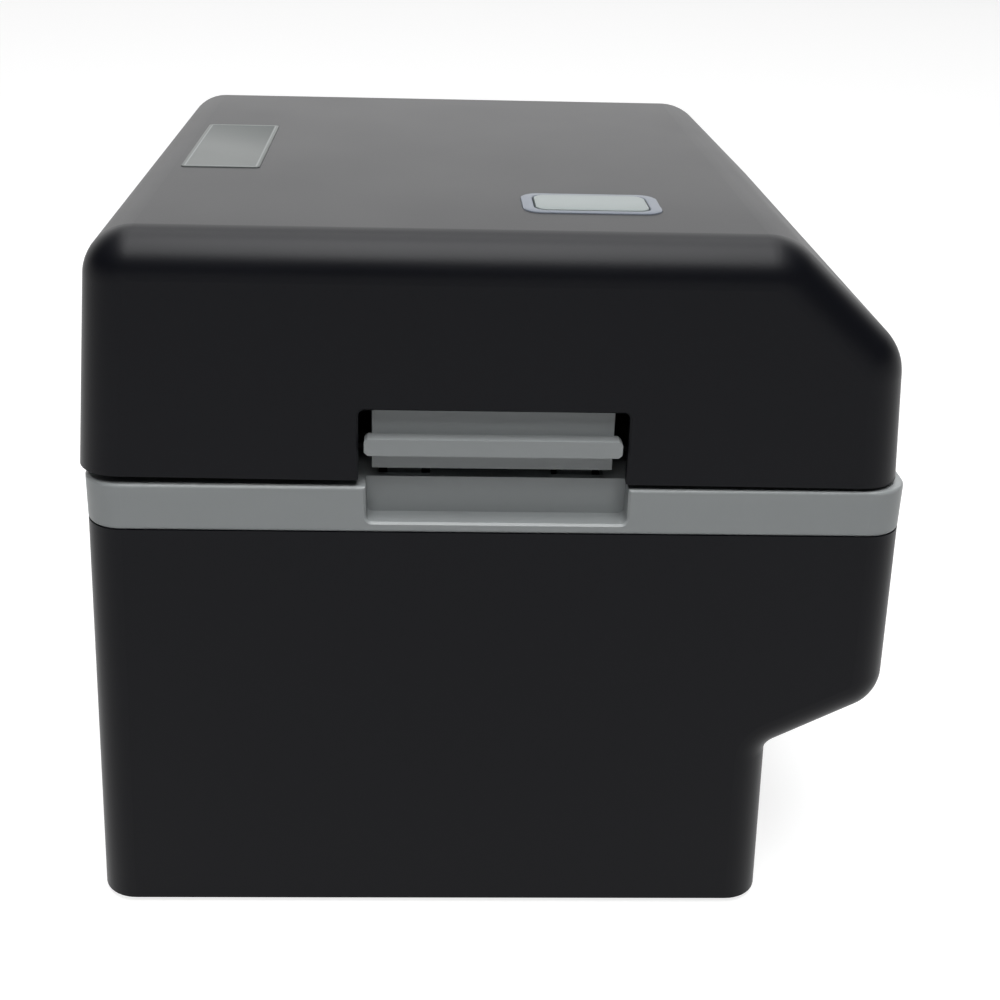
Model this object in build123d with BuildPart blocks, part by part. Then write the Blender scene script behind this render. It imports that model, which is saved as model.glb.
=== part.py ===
from build123d import *
from math import acos, atan2, cos, hypot, pi, sin, sqrt, tan
import os

os.makedirs("parts", exist_ok=True)

# Shipping label printer with a clamshell lid, in millimetres.
# +X is the printer's right as its user sees it, -Y is its front and +Z is up.
# The origin is the middle of its outline, on the table under its feet.

# Casing
case_length = 189.0
case_width = 180.0
case_height = 172.0
foot_height = 1.5
base_height = 103.4
band_height = 11.3
rear_flare = 2.8
front_flare = 1.3
wall = 2.5
base_corner = 9.0
lid_corner = 10.0
seam_gap_front = 0.9
seam_gap_rear = 2.0
clearance = 0.3
running_clearance = 0.05
press_clearance = 0.01

# Chin under the front
chin_top_height = 57.9
chin_inner_height = 43.6
chin_step = 25.35
chin_lean = 1.4
chin_outer_radius = 11.0
chin_inner_radius = 3.0

# Lid
lid_rear_overhang = 1.2
lid_front_setback = 1.8
lid_rear_taper = 4.7
lid_front_taper = 2.4
slope_start_height = 146.7
slope_end_setback = 31.45
lid_top_radius = 11.5
slope_radius = 14.0

# Grey band and deck
deck_thickness = 2.5
band_wall = 3.0
tongue_depth = 3.0
tongue_thickness = 1.2
tongue_gap = 0.4
band_edge_radius = 0.8

# Side grips and release levers
grip_offset = 1.6
notch_length = 60.5
notch_height = 18.2
notch_radius = 1.5
opening_chamfer = 0.5
pocket_length = 59.6
pocket_offset = 1.2
pocket_depth = 6.4
pocket_floor = 2.5
pocket_radius = 1.5
pocket_wall = 2.0
lever_length = 54.5
lever_thickness = 2.5
lever_face_depth = 3.7
lever_back_depth = 3.0
lever_leg_depth = 4.7
lever_foot_height = 3.3
lever_top_gap = 1.1
bar_length = 57.9
bar_thickness = 3.95
bar_height = 7.7
bar_chamfer = 0.8
lever_pivot_height = 29.8
lever_pin_radius = 1.5
lever_barrel_radius = 3.0
lever_lug_thickness = 2.5
lever_spring_length = 3.0
lever_spring_radius = 2.7
hook_width = 8.0
hook_spacing = 40.0
hook_thickness = 2.0
hook_nose = 2.0
hook_nose_height = 3.0
hook_inset = 8.0

# Lid hinge
hinge_inset = 0.5
hinge_height = 2.3
hinge_radius = 3.2
hinge_pin_radius = 1.5
hinge_spacing = 104.0
hinge_ear = 5.0
hinge_knuckle = 9.4

# Label roll, tray and guides
roll_front_room = 46.5
roll_rear_room = 10.5
roll_drop = 19.7
tray_length = 125.0
tray_floor_drop = 63.0
tray_flange = 3.0
tray_flange_thickness = 1.5
guide_opening = 115.0
guide_travel = 40.0
guide_thickness = 3.0
guide_half_foot = 14.0
guide_half_width = 28.0
guide_rise = 19.5
hub_radius = 12.0
hub_length = 6.0
stem_width = 6.0
rack_height = 4.0
rack_depth = 4.8
rack_module = 0.8
rack_teeth = 18
rail_thickness = 2.0
pinion_stud_radius = 2.0

# Platen and its drive
platen_radius = 8.0
platen_length = 110.0
platen_setback = 14.5
platen_drop = 5.7
shaft_radius = 3.0
shaft_left_end = 72.0
shaft_right_end = 64.0
bush_radius = 5.0
bush_length = 4.6
bush_offset = 59.0
saddle_width = 5.0
saddle_height = 13.0
deck_slot_length = 22.5
deck_slot_left = 74.0
deck_slot_right = 66.0
gear_module = 0.6
motor_teeth = 16
idler_teeth = 34
platen_teeth = 26
gear_width = 4.0
gear_offset = 66.0
gear_backlash = 0.12
gear_plate_thickness = 1.5
gear_plate_offset = 63.0
motor_size = 35.0
motor_length = 22.0
motor_drop = 28.5
motor_back = 10.0
motor_shaft_radius = 2.0
motor_boss_radius = 11.0
motor_screw_spacing = 26.0
idler_stud_radius = 2.0

# Print head
nip_gap = 0.3
head_length = 106.0
head_depth = 14.0
head_thickness = 1.0
sink_length = 112.0
sink_depth = 20.0
sink_height = 6.2
carrier_height = 2.0
head_travel = 1.2
head_spring_radius = 4.5
head_spring_spacing = 70.0
head_spring_length = 11.5
head_pin_radius = 2.0
head_pin_spacing = 98.0
bridge_thickness = 2.5
bridge_side_gap = 3.5
bridge_depth = 22.0
boss_radius = 4.0
boss_inset = 8.0
boss_pitch = 14.0

# Label mouth, tear bar and sensors
mouth_width = 118.0
mouth_height = 4.4
tear_bar_length = 112.0
tear_bar_height = 7.0
tear_bar_thickness = 0.8
tear_bar_pitch = 2.0
tear_bar_rise = 2.1
tear_tooth_height = 1.2
sensor_length = 12.0
sensor_depth = 8.0
sensor_height = 0.8
cover_switch_inset = 16.0
cover_switch_width = 6.0
cover_switch_depth = 12.0
cover_switch_height = 6.0
switch_button_width = 2.0
switch_button_depth = 3.0
switch_button_height = 1.5
slot_width = 116.0
slot_height = 5.0
slot_level = 90.0

# Button, its frame and the plate on the lid
button_inset = 34.4
button_setback = 73.5
frame_width = 18.4
frame_length = 32.3
button_width = 14.2
button_length = 26.3
frame_radius = 4.5
button_radius = 3.0
frame_rise = 0.3
button_travel = 0.8
press_gap = 0.1
button_flange = 1.2
board_drop = 10.0
button_board_width = 18.0
push_switch_size = 6.0
push_switch_height = 2.5
plunger_radius = 1.7
plunger_height = 1.0
stem_radius = 1.6
plate_side_inset = 86.0
plate_inset = 26.7
plate_length = 55.0
plate_width = 19.7
plate_thickness = 0.6
plate_recess = 0.4
plate_radius = 1.0

# Electronics and rear sockets
pcb_thickness = 1.6
pcb_length = 110.0
pcb_width = 66.0
pcb_height = 8.5
standoff_radius = 3.0
capacitor_radius = 4.0
capacitor_height = 9.0
capacitor_spacing = 10.0
usb_x = 6.0
usb_width = 12.0
usb_height = 11.0
usb_length = 16.5
jack_x = 38.0
jack_width = 9.5
jack_height = 11.0
jack_length = 14.5
jack_bore = 3.2
jack_pin = 1.0
socket_gap = 0.3
switch_x = -40.0
switch_height = 22.0
switch_width = 13.0
switch_tall = 19.0
switch_length = 14.0
switch_rim = 1.5
rocker_angle = 8.0
rocker_axle_radius = 1.5

# Feet and screws
foot_radius = 7.0
foot_recess = 1.0
foot_side_inset = 22.0
foot_rear_inset = 20.0
foot_front_inset = 12.0
post_radius = 4.0
post_side_inset = 12.5
post_rear_inset = 15.0
post_front_inset = 15.0
screw_radius = 1.45
screw_hole_radius = 1.5
screw_head_radius = 2.8
screw_head_height = 1.6
screw_length = 12.0

# Levels and planes that the pieces share
half_width = case_width / 2
post_x = half_width - post_side_inset
foot_x = half_width - foot_side_inset
button_x = button_inset - half_width
plate_x = half_width - plate_side_inset
bridge_length = case_width - 2 * wall - 2 * bridge_side_gap
boss_spacing = bridge_length - 2 * boss_inset
roll_radius = (case_length - roll_front_room - roll_rear_room) / 2
y_mid = (rear_flare - front_flare) / 2
y_back = case_length / 2 - y_mid
y_front = -case_length / 2 - y_mid
base_z = foot_height
band_z = base_z + base_height
deck_top = band_z + band_height
deck_under = deck_top - deck_thickness
top_z = base_z + case_height
lid_z_front = deck_top + seam_gap_front
lid_z_rear = deck_top + seam_gap_rear
lid_y_back = y_back + lid_rear_overhang
lid_y_front = y_front + lid_front_setback
y_grip = grip_offset - y_mid
slope_z = base_z + slope_start_height
slope_y = y_front + slope_end_setback
lid_tilt = atan2(seam_gap_rear - seam_gap_front, case_length)
lid_skirt = 20.0


def side_block(outline, roundings, half, edge_radius, inset):
    """A block with this side view, rounded along both of its sides but not below."""
    with BuildPart() as block:
        with BuildSketch(Plane.YZ) as side:
            with BuildLine():
                Polyline(*outline, close=True)
            make_face()
            for corner, radius in roundings:
                fillet(side.vertices().sort_by_distance(corner)[0], radius)
            if inset:
                offset(amount=-inset, kind=Kind.INTERSECTION, mode=Mode.REPLACE)
        extrude(amount=half - inset, both=True)
        for end in (block.faces().sort_by(Axis.X)[0], block.faces().sort_by(Axis.X)[-1]):
            rim = end.edges().sort_by(Axis.Z)[1:]
            fillet(rim, edge_radius - inset)
    return block.part


def column(radius, x, y, low, high, bore=0):
    """An upright round post, with a bore down its middle."""
    with BuildPart() as post:
        with BuildSketch(Plane.XY.offset(low)):
            with Locations((x, y)):
                Circle(radius)
                if bore:
                    Circle(bore, mode=Mode.SUBTRACT)
        extrude(amount=high - low)
    return post.part


def rod(radius, low, high, y, z, bore=0):
    """A round bar along X, with a bore through it."""
    with BuildPart() as bar:
        with BuildSketch(Plane.YZ.offset(low)):
            with Locations((y, z)):
                Circle(radius)
                if bore:
                    Circle(bore, mode=Mode.SUBTRACT)
        extrude(amount=high - low)
    return bar.part


def cross_rod(radius, low, high, x, z, bore=0):
    """A round bar along Y, with a bore through it."""
    with BuildPart() as bar:
        with BuildSketch(Plane.XZ.offset(-high)):
            with Locations((x, z)):
                Circle(radius)
                if bore:
                    Circle(bore, mode=Mode.SUBTRACT)
        extrude(amount=high - low)
    return bar.part


def brick(x0, x1, y0, y1, z0, z1):
    """A plain block between two corners."""
    with BuildPart() as block:
        with BuildSketch(Plane.XY.offset(z0)):
            with Locations(((x0 + x1) / 2, (y0 + y1) / 2)):
                Rectangle(abs(x1 - x0), abs(y1 - y0))
        extrude(amount=z1 - z0)
    return block.part


def involute_points(teeth, module, phase):
    """The outline of a spur gear with 20 degree involute flanks."""
    pressure = pi / 9
    pitch = teeth * module / 2
    base = pitch * cos(pressure)
    root = pitch - 1.25 * module
    tip = pitch + 0.9 * module
    start = max(base, root)
    half_tooth = pi / (2 * teeth) - gear_backlash / (2 * pitch)
    lean = tan(pressure) - pressure
    flank = []
    for step in range(4):
        reach = start + (tip - start) * step / 3
        roll = acos(min(1.0, base / reach))
        flank.append((reach, half_tooth + lean - tan(roll) + roll))
    points = []
    for tooth in range(teeth):
        middle = phase + 2 * pi * tooth / teeth
        points.append((root, middle - flank[0][1]))
        points += [(reach, middle - half) for reach, half in flank]
        points += [(reach, middle + half) for reach, half in reversed(flank)]
        points.append((root, middle + flank[0][1]))
    return [(reach * cos(angle), reach * sin(angle)) for reach, angle in points]


def spur_gear(plane, teeth, module, phase, width, bore):
    """A gear that stands on a plane, whose origin is the gear's centre."""
    with BuildPart() as gear:
        with BuildSketch(plane):
            with BuildLine():
                Polyline(*involute_points(teeth, module, phase), close=True)
            make_face()
            Circle(bore, mode=Mode.SUBTRACT)
        extrude(amount=width)
    return gear.part


def drive_plane(y, z):
    """The left-hand side plane of the drive gears, centred on one of them."""
    return Plane(origin=(-gear_offset - gear_width, y, z), x_dir=(0, 1, 0), z_dir=(1, 0, 0))


def meshing_phase(teeth_a, phase_a, direction, teeth_b, module):
    """The turn of gear b that puts its teeth between those of gear a beside it."""
    radius_a = teeth_a * module / 2
    radius_b = teeth_b * module / 2
    travel = radius_a * (phase_a - direction) + pi * module / 2
    return direction + pi - travel / radius_b


def save(piece, label):
    piece.label = label
    export_step(piece, f"parts/{label}.step")


# Base tub: a moulded box, open on top, whose lower front steps back under a chin
base_top = band_z + lid_skirt
front_low_y = y_front - front_flare + chin_step
flare_slope = rear_flare / base_height
front_slope = front_flare / (base_height - chin_top_height)
base_outline = [
    (y_back + rear_flare, base_z),
    (front_low_y, base_z),
    (front_low_y + chin_lean, base_z + chin_inner_height),
    (y_front - front_flare, base_z + chin_top_height),
    (y_front + front_slope * lid_skirt, base_top),
    (y_back - flare_slope * lid_skirt, base_top),
]
base_roundings = [
    (base_outline[2], chin_inner_radius),
    (base_outline[3], chin_outer_radius),
]
base_outer = side_block(base_outline, base_roundings, half_width, base_corner, 0)
base_inner = side_block(base_outline, base_roundings, half_width, base_corner, wall)
floor_z = base_z + wall
post_places = [
    (side * post_x, y)
    for side in (-1, 1)
    for y in (y_back - post_rear_inset, y_front + post_front_inset)
]
foot_places = [
    (side * foot_x, y)
    for side in (-1, 1)
    for y in (y_back - foot_rear_inset, front_low_y + foot_front_inset)
]
pcb_z = floor_z + pcb_height - wall
pcb_top = pcb_z + pcb_thickness
pcb_back = y_back + rear_flare - wall - 5.0
pcb_x = 4.0
standoff_places = [
    (pcb_x + side_x * (pcb_length / 2 - 5), pcb_back - pcb_width / 2 + side_y * (pcb_width / 2 - 5))
    for side_x in (-1, 1)
    for side_y in (-1, 1)
]
rear_outer = y_back + rear_flare + 1
rear_cut = y_back - wall - 4
slot_z = base_z + slot_level

with BuildPart() as base_shell:
    add(base_outer)
    split(bisect_by=Plane.XY.offset(band_z), keep=Keep.BOTTOM)
    add(base_inner, mode=Mode.SUBTRACT)
    for x, y in post_places:
        add(column(post_radius, x, y, base_z, deck_under) & base_outer)
    for x, y in standoff_places:
        add(column(standoff_radius, x, y, floor_z - 0.5, pcb_z))
    for x, y in post_places:
        hole = column(screw_hole_radius, x, y, deck_under - screw_length, deck_under)
        add(hole, mode=Mode.SUBTRACT)
    for x, y in standoff_places:
        add(column(screw_radius, x, y, floor_z, pcb_z), mode=Mode.SUBTRACT)
    for x, y in foot_places:
        pad = column(foot_radius + running_clearance, x, y, base_z, base_z + foot_recess)
        add(pad, mode=Mode.SUBTRACT)
    for x, wide, tall in (
        (usb_x, usb_width, usb_height),
        (jack_x, jack_width, jack_height),
    ):
        half = wide / 2 + socket_gap
        window = brick(x - half, x + half, rear_cut, rear_outer, pcb_top - socket_gap, pcb_top + tall + socket_gap)
        add(window, mode=Mode.SUBTRACT)
    switch_window = brick(
        switch_x - switch_width / 2 - running_clearance,
        switch_x + switch_width / 2 + running_clearance,
        rear_cut,
        rear_outer,
        base_z + switch_height - switch_tall / 2 - running_clearance,
        base_z + switch_height + switch_tall / 2 + running_clearance,
    )
    add(switch_window, mode=Mode.SUBTRACT)
    rear_slot = brick(
        -slot_width / 2, slot_width / 2, rear_cut, rear_outer, slot_z - slot_height / 2, slot_z + slot_height / 2
    )
    add(rear_slot, mode=Mode.SUBTRACT)
save(base_shell.part, "base_shell")

# Rubber feet, pressed into round recesses under the base
with BuildPart() as rubber_feet:
    for x, y in foot_places:
        add(column(foot_radius, x, y, 0, base_z + foot_recess))
save(rubber_feet.part, "rubber_feet")

# Grey band: a frame round the seam, with the deck that carries the works
roll_y = y_back - roll_rear_room - roll_radius
roll_z = deck_top - roll_drop
tray_half = tray_length / 2
tray_outer = roll_radius + wall
platen_y = y_front + platen_setback
platen_z = deck_top - platen_drop
deck_slot_front = y_front + band_wall
deck_slot_back = deck_slot_front + deck_slot_length
y_pocket = y_grip - pocket_offset
pocket_y0 = y_pocket - pocket_length / 2
pocket_y1 = y_pocket + pocket_length / 2
pocket_x = half_width - pocket_depth
pocket_back = pocket_x - pocket_wall
hook_inner = half_width - lever_back_depth - lever_thickness - hook_inset - hook_thickness
nose_tip = hook_inner - hook_nose
hook_places = [y_grip - hook_spacing / 2, y_grip + hook_spacing / 2]
plate_inner = -gear_plate_offset
plate_outer = plate_inner - gear_plate_thickness
flange_front = deck_slot_back + 1
flange_back = flange_front + 13
flange_screw_y = [flange_front + 3.5, flange_back - 3.5]
flange_screw_x = plate_outer - 5
hinge_y = y_back - hinge_inset
hinge_z = deck_top + hinge_height
hinge_ear_half = hinge_knuckle / 2 + clearance
tongue_width = case_width - 2 * wall - 2 * tongue_gap
tongue_length = case_length - 2 * wall - 2 * tongue_gap
ear_places = [
    side * hinge_spacing / 2 + end * (hinge_ear_half + hinge_ear / 2)
    for side in (-1, 1)
    for end in (-1, 1)
]

def side_cut(side, near, y, length, low, high, radius, corners):
    """A cut into a side of the case, with two round corners and a chamfer round its mouth."""

    def outline(x, growth):
        with BuildSketch(Plane.YZ.offset(side * x)) as mouth:
            with Locations((y, (low + high) / 2)):
                Rectangle(length + 2 * growth, high - low + 2 * growth)
            fillet(mouth.vertices().group_by(Axis.Y)[corners], radius + growth)
        return mouth.sketch

    with BuildPart() as cut:
        extrude(outline(near, 0), amount=side * (half_width + 1 - near))
        loft([outline(half_width - opening_chamfer, 0), outline(half_width, opening_chamfer)])
    return cut.part


with BuildPart() as mid_frame:
    with BuildSketch(Plane.XY.offset(band_z)):
        with Locations((0, (y_back + y_front) / 2)):
            RectangleRounded(case_width, case_length, base_corner)
    extrude(amount=band_height)
    outer_rims = mid_frame.faces().filter_by(Axis.Z).edges()
    fillet(outer_rims, band_edge_radius)
    with BuildSketch(Plane.XY.offset(band_z)):
        with Locations((0, (y_back + y_front) / 2)):
            RectangleRounded(
                case_width - 2 * band_wall, case_length - 2 * band_wall, base_corner - band_wall
            )
    extrude(amount=band_height - deck_thickness, mode=Mode.SUBTRACT)
    # The tongue that drops inside the base wall
    with BuildSketch(Plane.XY.offset(band_z - tongue_depth)):
        with Locations((0, (y_back + y_front) / 2)):
            RectangleRounded(
                tongue_width,
                tongue_length,
                base_corner - wall,
            )
            RectangleRounded(
                tongue_width - 2 * tongue_thickness,
                tongue_length - 2 * tongue_thickness,
                base_corner - wall - tongue_thickness,
                mode=Mode.SUBTRACT,
            )
    extrude(amount=tongue_depth)
    # Walls behind the finger pockets
    for side in (-1, 1):
        backing = brick(
            side * pocket_back, side * (half_width - 1), pocket_y0 - wall, pocket_y1 + wall, band_z, deck_top
        )
        add(backing)
        pocket_low = band_z + pocket_floor
        pocket_high = pocket_low + 2 * band_height
        pocket = side_cut(
            side, pocket_x, y_pocket, pocket_length, pocket_low, pocket_high, pocket_radius, 0
        )
        add(pocket, mode=Mode.SUBTRACT)
        for y in hook_places:
            reach = brick(
                side * (nose_tip - clearance),
                side * pocket_back,
                y - hook_width / 2 - 2,
                y + hook_width / 2 + 2,
                deck_under - 1,
                deck_top + 1,
            )
            add(reach, mode=Mode.SUBTRACT)
    # Openings for the tray and for the platen with its gear
    tray_opening = brick(
        -tray_half - wall - clearance,
        tray_half + wall + clearance,
        roll_y - tray_outer - clearance,
        roll_y + tray_outer + clearance,
        deck_under - 1,
        deck_top + 1,
    )
    add(tray_opening, mode=Mode.SUBTRACT)
    platen_opening = brick(
        -deck_slot_left, deck_slot_right, deck_slot_front, deck_slot_back, deck_under - 1, deck_top + 1
    )
    add(platen_opening, mode=Mode.SUBTRACT)
    # Saddles that hold the platen's bushes from below
    for side in (-1, 1):
        saddle = brick(
            side * bush_offset - saddle_width / 2,
            side * bush_offset + saddle_width / 2,
            y_front + band_wall - 0.5,
            deck_slot_back + 0.5,
            deck_top - saddle_height,
            deck_top,
        )
        add(saddle)
        seat = rod(
            bush_radius + running_clearance,
            side * bush_offset - saddle_width / 2,
            side * bush_offset + saddle_width / 2,
            platen_y,
            platen_z,
        )
        add(seat, mode=Mode.SUBTRACT)
        entry = brick(
            side * bush_offset - saddle_width / 2,
            side * bush_offset + saddle_width / 2,
            platen_y - bush_radius - running_clearance,
            platen_y + bush_radius + running_clearance,
            platen_z,
            deck_top + 1,
        )
        add(entry, mode=Mode.SUBTRACT)
    screw_places = post_places + [(flange_screw_x, y) for y in flange_screw_y]
    for x, y in screw_places:
        add(column(screw_hole_radius, x, y, deck_under - 1, deck_top + 1), mode=Mode.SUBTRACT)
    # Hinge ears stand on the rear edge, with a dip for each lid knuckle between them
    for x in ear_places:
        add(rod(hinge_radius, x - hinge_ear / 2, x + hinge_ear / 2, hinge_y, hinge_z))
        stem = brick(
            x - hinge_ear / 2, x + hinge_ear / 2, hinge_y - hinge_radius, y_back, deck_under, hinge_z
        )
        add(stem)
        bore = rod(
            hinge_pin_radius + press_clearance, x - hinge_ear / 2, x + hinge_ear / 2, hinge_y, hinge_z
        )
        add(bore, mode=Mode.SUBTRACT)
    for side in (-1, 1):
        dip = brick(
            side * hinge_spacing / 2 - hinge_ear_half,
            side * hinge_spacing / 2 + hinge_ear_half,
            hinge_y - hinge_radius - clearance,
            y_back + 1,
            hinge_z - hinge_radius - clearance - 0.1,
            deck_top + 1,
        )
        add(dip, mode=Mode.SUBTRACT)
save(mid_frame.part, "mid_frame")

# Hinge pins, one through each pair of ears
with BuildPart() as hinge_pins:
    for side in (-1, 1):
        reach = hinge_ear_half + hinge_ear
        middle = side * hinge_spacing / 2
        add(rod(hinge_pin_radius, middle - reach, middle + reach, hinge_y, hinge_z))
save(hinge_pins.part, "hinge_pins")

# Screws that hold the deck down on the base's four posts
with BuildPart() as case_screws:
    for x, y in post_places:
        add(column(screw_radius, x, y, deck_under - screw_length + 1, deck_top))
        add(column(screw_head_radius, x, y, deck_top, deck_top + screw_head_height))
save(case_screws.part, "case_screws")

# Roll tray: a trough for the label roll, hung by its rim on the deck
tray_floor = roll_z - tray_floor_drop
tray_under = tray_floor - wall
pinion_radius = rack_teeth * rack_module / 2
rack_root = pinion_radius + 1.25 * rack_module
rack_back = pinion_radius + rack_depth + rack_module
stem_near = rack_root + 0.3
guide_face = guide_opening / 2
stem_outer = guide_face + guide_thickness
stem_slot_inner = stem_outer - stem_width - guide_travel - clearance


def trough(radius, floor, top, half):
    with BuildPart() as body:
        with BuildSketch(Plane.YZ):
            with Locations((roll_y, roll_z)):
                Circle(radius)
            with Locations((roll_y, roll_z)):
                Rectangle(2 * radius, top - roll_z, align=(Align.CENTER, Align.MIN))
            with Locations((roll_y, floor)):
                Rectangle(2 * radius, top - floor, align=(Align.CENTER, Align.MIN), mode=Mode.INTERSECT)
        extrude(amount=half, both=True)
    return body.part


with BuildPart() as roll_tray:
    add(trough(tray_outer, tray_under, deck_top, tray_half + wall))
    rim = brick(
        -tray_half - wall - tray_flange,
        tray_half + wall + tray_flange,
        roll_y - tray_outer - tray_flange,
        roll_y + tray_outer + tray_flange,
        deck_top,
        deck_top + tray_flange_thickness,
    )
    add(rim)
    add(trough(roll_radius, tray_floor, deck_top + lid_skirt, tray_half), mode=Mode.SUBTRACT)
    for side in (-1, 1):
        stem_slot = brick(
            -side * (stem_outer + clearance),
            -side * (stem_slot_inner),
            roll_y + side * (stem_near - clearance),
            roll_y + side * (rack_back + clearance),
            tray_under - 1,
            tray_floor + 1,
        )
        add(stem_slot, mode=Mode.SUBTRACT)
    tray_slot = brick(
        -slot_width / 2,
        slot_width / 2,
        roll_y + roll_radius - 6,
        roll_y + tray_outer + 1,
        slot_z - slot_height / 2,
        slot_z + slot_height / 2,
    )
    add(tray_slot, mode=Mode.SUBTRACT)
save(roll_tray.part, "roll_tray")

# Guide rails: a channel under the tray that keeps both racks against the pinion
rack_top = tray_under - clearance
rack_bottom = rack_top - rack_height
rail_floor = rack_bottom - clearance
rail_half = tray_half
with BuildPart() as guide_rails:
    add(
        brick(
            -rail_half,
            rail_half,
            roll_y - rack_back - clearance - rail_thickness,
            roll_y + rack_back + clearance + rail_thickness,
            rail_floor - rail_thickness,
            rail_floor,
        )
    )
    for side in (-1, 1):
        add(
            brick(
                -rail_half,
                rail_half,
                roll_y + side * (rack_back + clearance),
                roll_y + side * (rack_back + clearance + rail_thickness),
                rail_floor,
                tray_under,
            )
        )
    add(column(pinion_stud_radius, 0, roll_y, rail_floor, rack_top))
save(guide_rails.part, "guide_rails")

# Pinion between the racks
guide_pinion = spur_gear(
    Plane((0, roll_y, rack_bottom)),
    rack_teeth,
    rack_module,
    pi / 2,
    rack_height,
    pinion_stud_radius + running_clearance,
)
save(guide_pinion, "guide_pinion")


def media_guide(side):
    """A label guide: an upright arm with a hub for the roll's core, and its rack below."""
    pitch = pi * rack_module
    half_tooth = pitch / 4 - gear_backlash / 2
    flank = tan(pi / 9)
    tip = 0.9 * rack_module
    root = 1.25 * rack_module
    first = -int((stem_outer - stem_width) / pitch)
    with BuildPart() as guide:
        # Rack, whose teeth face the pinion
        body = brick(
            -stem_outer,
            rack_module * 8,
            roll_y + side * rack_root,
            roll_y + side * rack_back,
            rack_bottom,
            rack_top,
        )
        add(body)
        with BuildSketch(Plane.XY.offset(rack_bottom)):
            for tooth in range(first, 2):
                middle = (tooth + 0.5) * pitch
                with BuildLine():
                    Polyline(
                        (middle - half_tooth - root * flank, roll_y + side * (rack_root + 0.2)),
                        (middle - half_tooth - root * flank, roll_y + side * rack_root),
                        (middle - half_tooth + tip * flank, roll_y + side * (pinion_radius - tip)),
                        (middle + half_tooth - tip * flank, roll_y + side * (pinion_radius - tip)),
                        (middle + half_tooth + root * flank, roll_y + side * rack_root),
                        (middle + half_tooth + root * flank, roll_y + side * (rack_root + 0.2)),
                        close=True,
                    )
                make_face()
        extrude(amount=rack_height)
        # Stem through the tray's floor
        stem = brick(
            -stem_outer,
            -stem_outer + stem_width,
            roll_y + side * stem_near,
            roll_y + side * rack_back,
            rack_bottom,
            tray_floor + 2,
        )
        add(stem)
        # Upright arm and hub
        with BuildSketch(Plane.YZ.offset(-stem_outer)) as arm:
            with BuildLine():
                foot = tray_floor + 0.5
                shoulder = roll_z - 34
                Polyline(
                    (roll_y - guide_half_foot, foot),
                    (roll_y + guide_half_foot, foot),
                    (roll_y + guide_half_width, shoulder),
                    (roll_y + guide_half_width, roll_z + guide_rise),
                    (roll_y - guide_half_width, roll_z + guide_rise),
                    (roll_y - guide_half_width, shoulder),
                    close=True,
                )
            make_face()
            fillet(arm.vertices().group_by(Axis.Y)[-1], 14)
        extrude(amount=guide_thickness)
        add(rod(hub_radius, -guide_face, -guide_face + hub_length, roll_y, roll_z))
    return guide.part


guide_left = media_guide(1)
save(guide_left, "guide_left")
guide_right = media_guide(-1).mirror(Plane.YZ)
save(guide_right, "guide_right")

# Platen: a rubber sleeve on a steel shaft, turning in two bushes
with BuildPart() as platen_rubber:
    add(rod(platen_radius, -platen_length / 2, platen_length / 2, platen_y, platen_z, shaft_radius))
save(platen_rubber.part, "platen_rubber")

platen_shaft = rod(shaft_radius, -shaft_left_end, shaft_right_end, platen_y, platen_z)
save(platen_shaft, "platen_shaft")

with BuildPart() as platen_bushes:
    for side in (-1, 1):
        middle = side * bush_offset
        bush = rod(
            bush_radius,
            middle - bush_length / 2,
            middle + bush_length / 2,
            platen_y,
            platen_z,
            shaft_radius + running_clearance,
        )
        add(bush)
save(platen_bushes.part, "platen_bushes")

# Drive train beside the platen: motor pinion, idler and platen gear
motor_y = platen_y + motor_back
motor_z = platen_z - motor_drop
motor_to_idler = (motor_teeth + idler_teeth) * gear_module / 2
idler_to_platen = (idler_teeth + platen_teeth) * gear_module / 2
span = hypot(motor_y - platen_y, motor_z - platen_z)
along = (motor_to_idler**2 - idler_to_platen**2 + span**2) / (2 * span)
aside = sqrt(motor_to_idler**2 - along**2)
unit_y = (platen_y - motor_y) / span
unit_z = (platen_z - motor_z) / span
idler_y = motor_y + along * unit_y + aside * unit_z
idler_z = motor_z + along * unit_z - aside * unit_y
to_idler = atan2(idler_z - platen_z, idler_y - platen_y)
to_motor = atan2(motor_z - idler_z, motor_y - idler_y)
idler_phase = meshing_phase(platen_teeth, 0, to_idler, idler_teeth, gear_module)
motor_phase = meshing_phase(idler_teeth, idler_phase, to_motor, motor_teeth, gear_module)

platen_gear = spur_gear(
    drive_plane(platen_y, platen_z),
    platen_teeth,
    gear_module,
    0,
    gear_width,
    shaft_radius + press_clearance,
)
save(platen_gear, "platen_gear")

idler_gear = spur_gear(
    drive_plane(idler_y, idler_z),
    idler_teeth,
    gear_module,
    idler_phase,
    gear_width,
    idler_stud_radius + running_clearance,
)
save(idler_gear, "idler_gear")

motor_pinion = spur_gear(
    drive_plane(motor_y, motor_z),
    motor_teeth,
    gear_module,
    motor_phase,
    gear_width,
    motor_shaft_radius + press_clearance,
)
save(motor_pinion, "motor_pinion")

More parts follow.
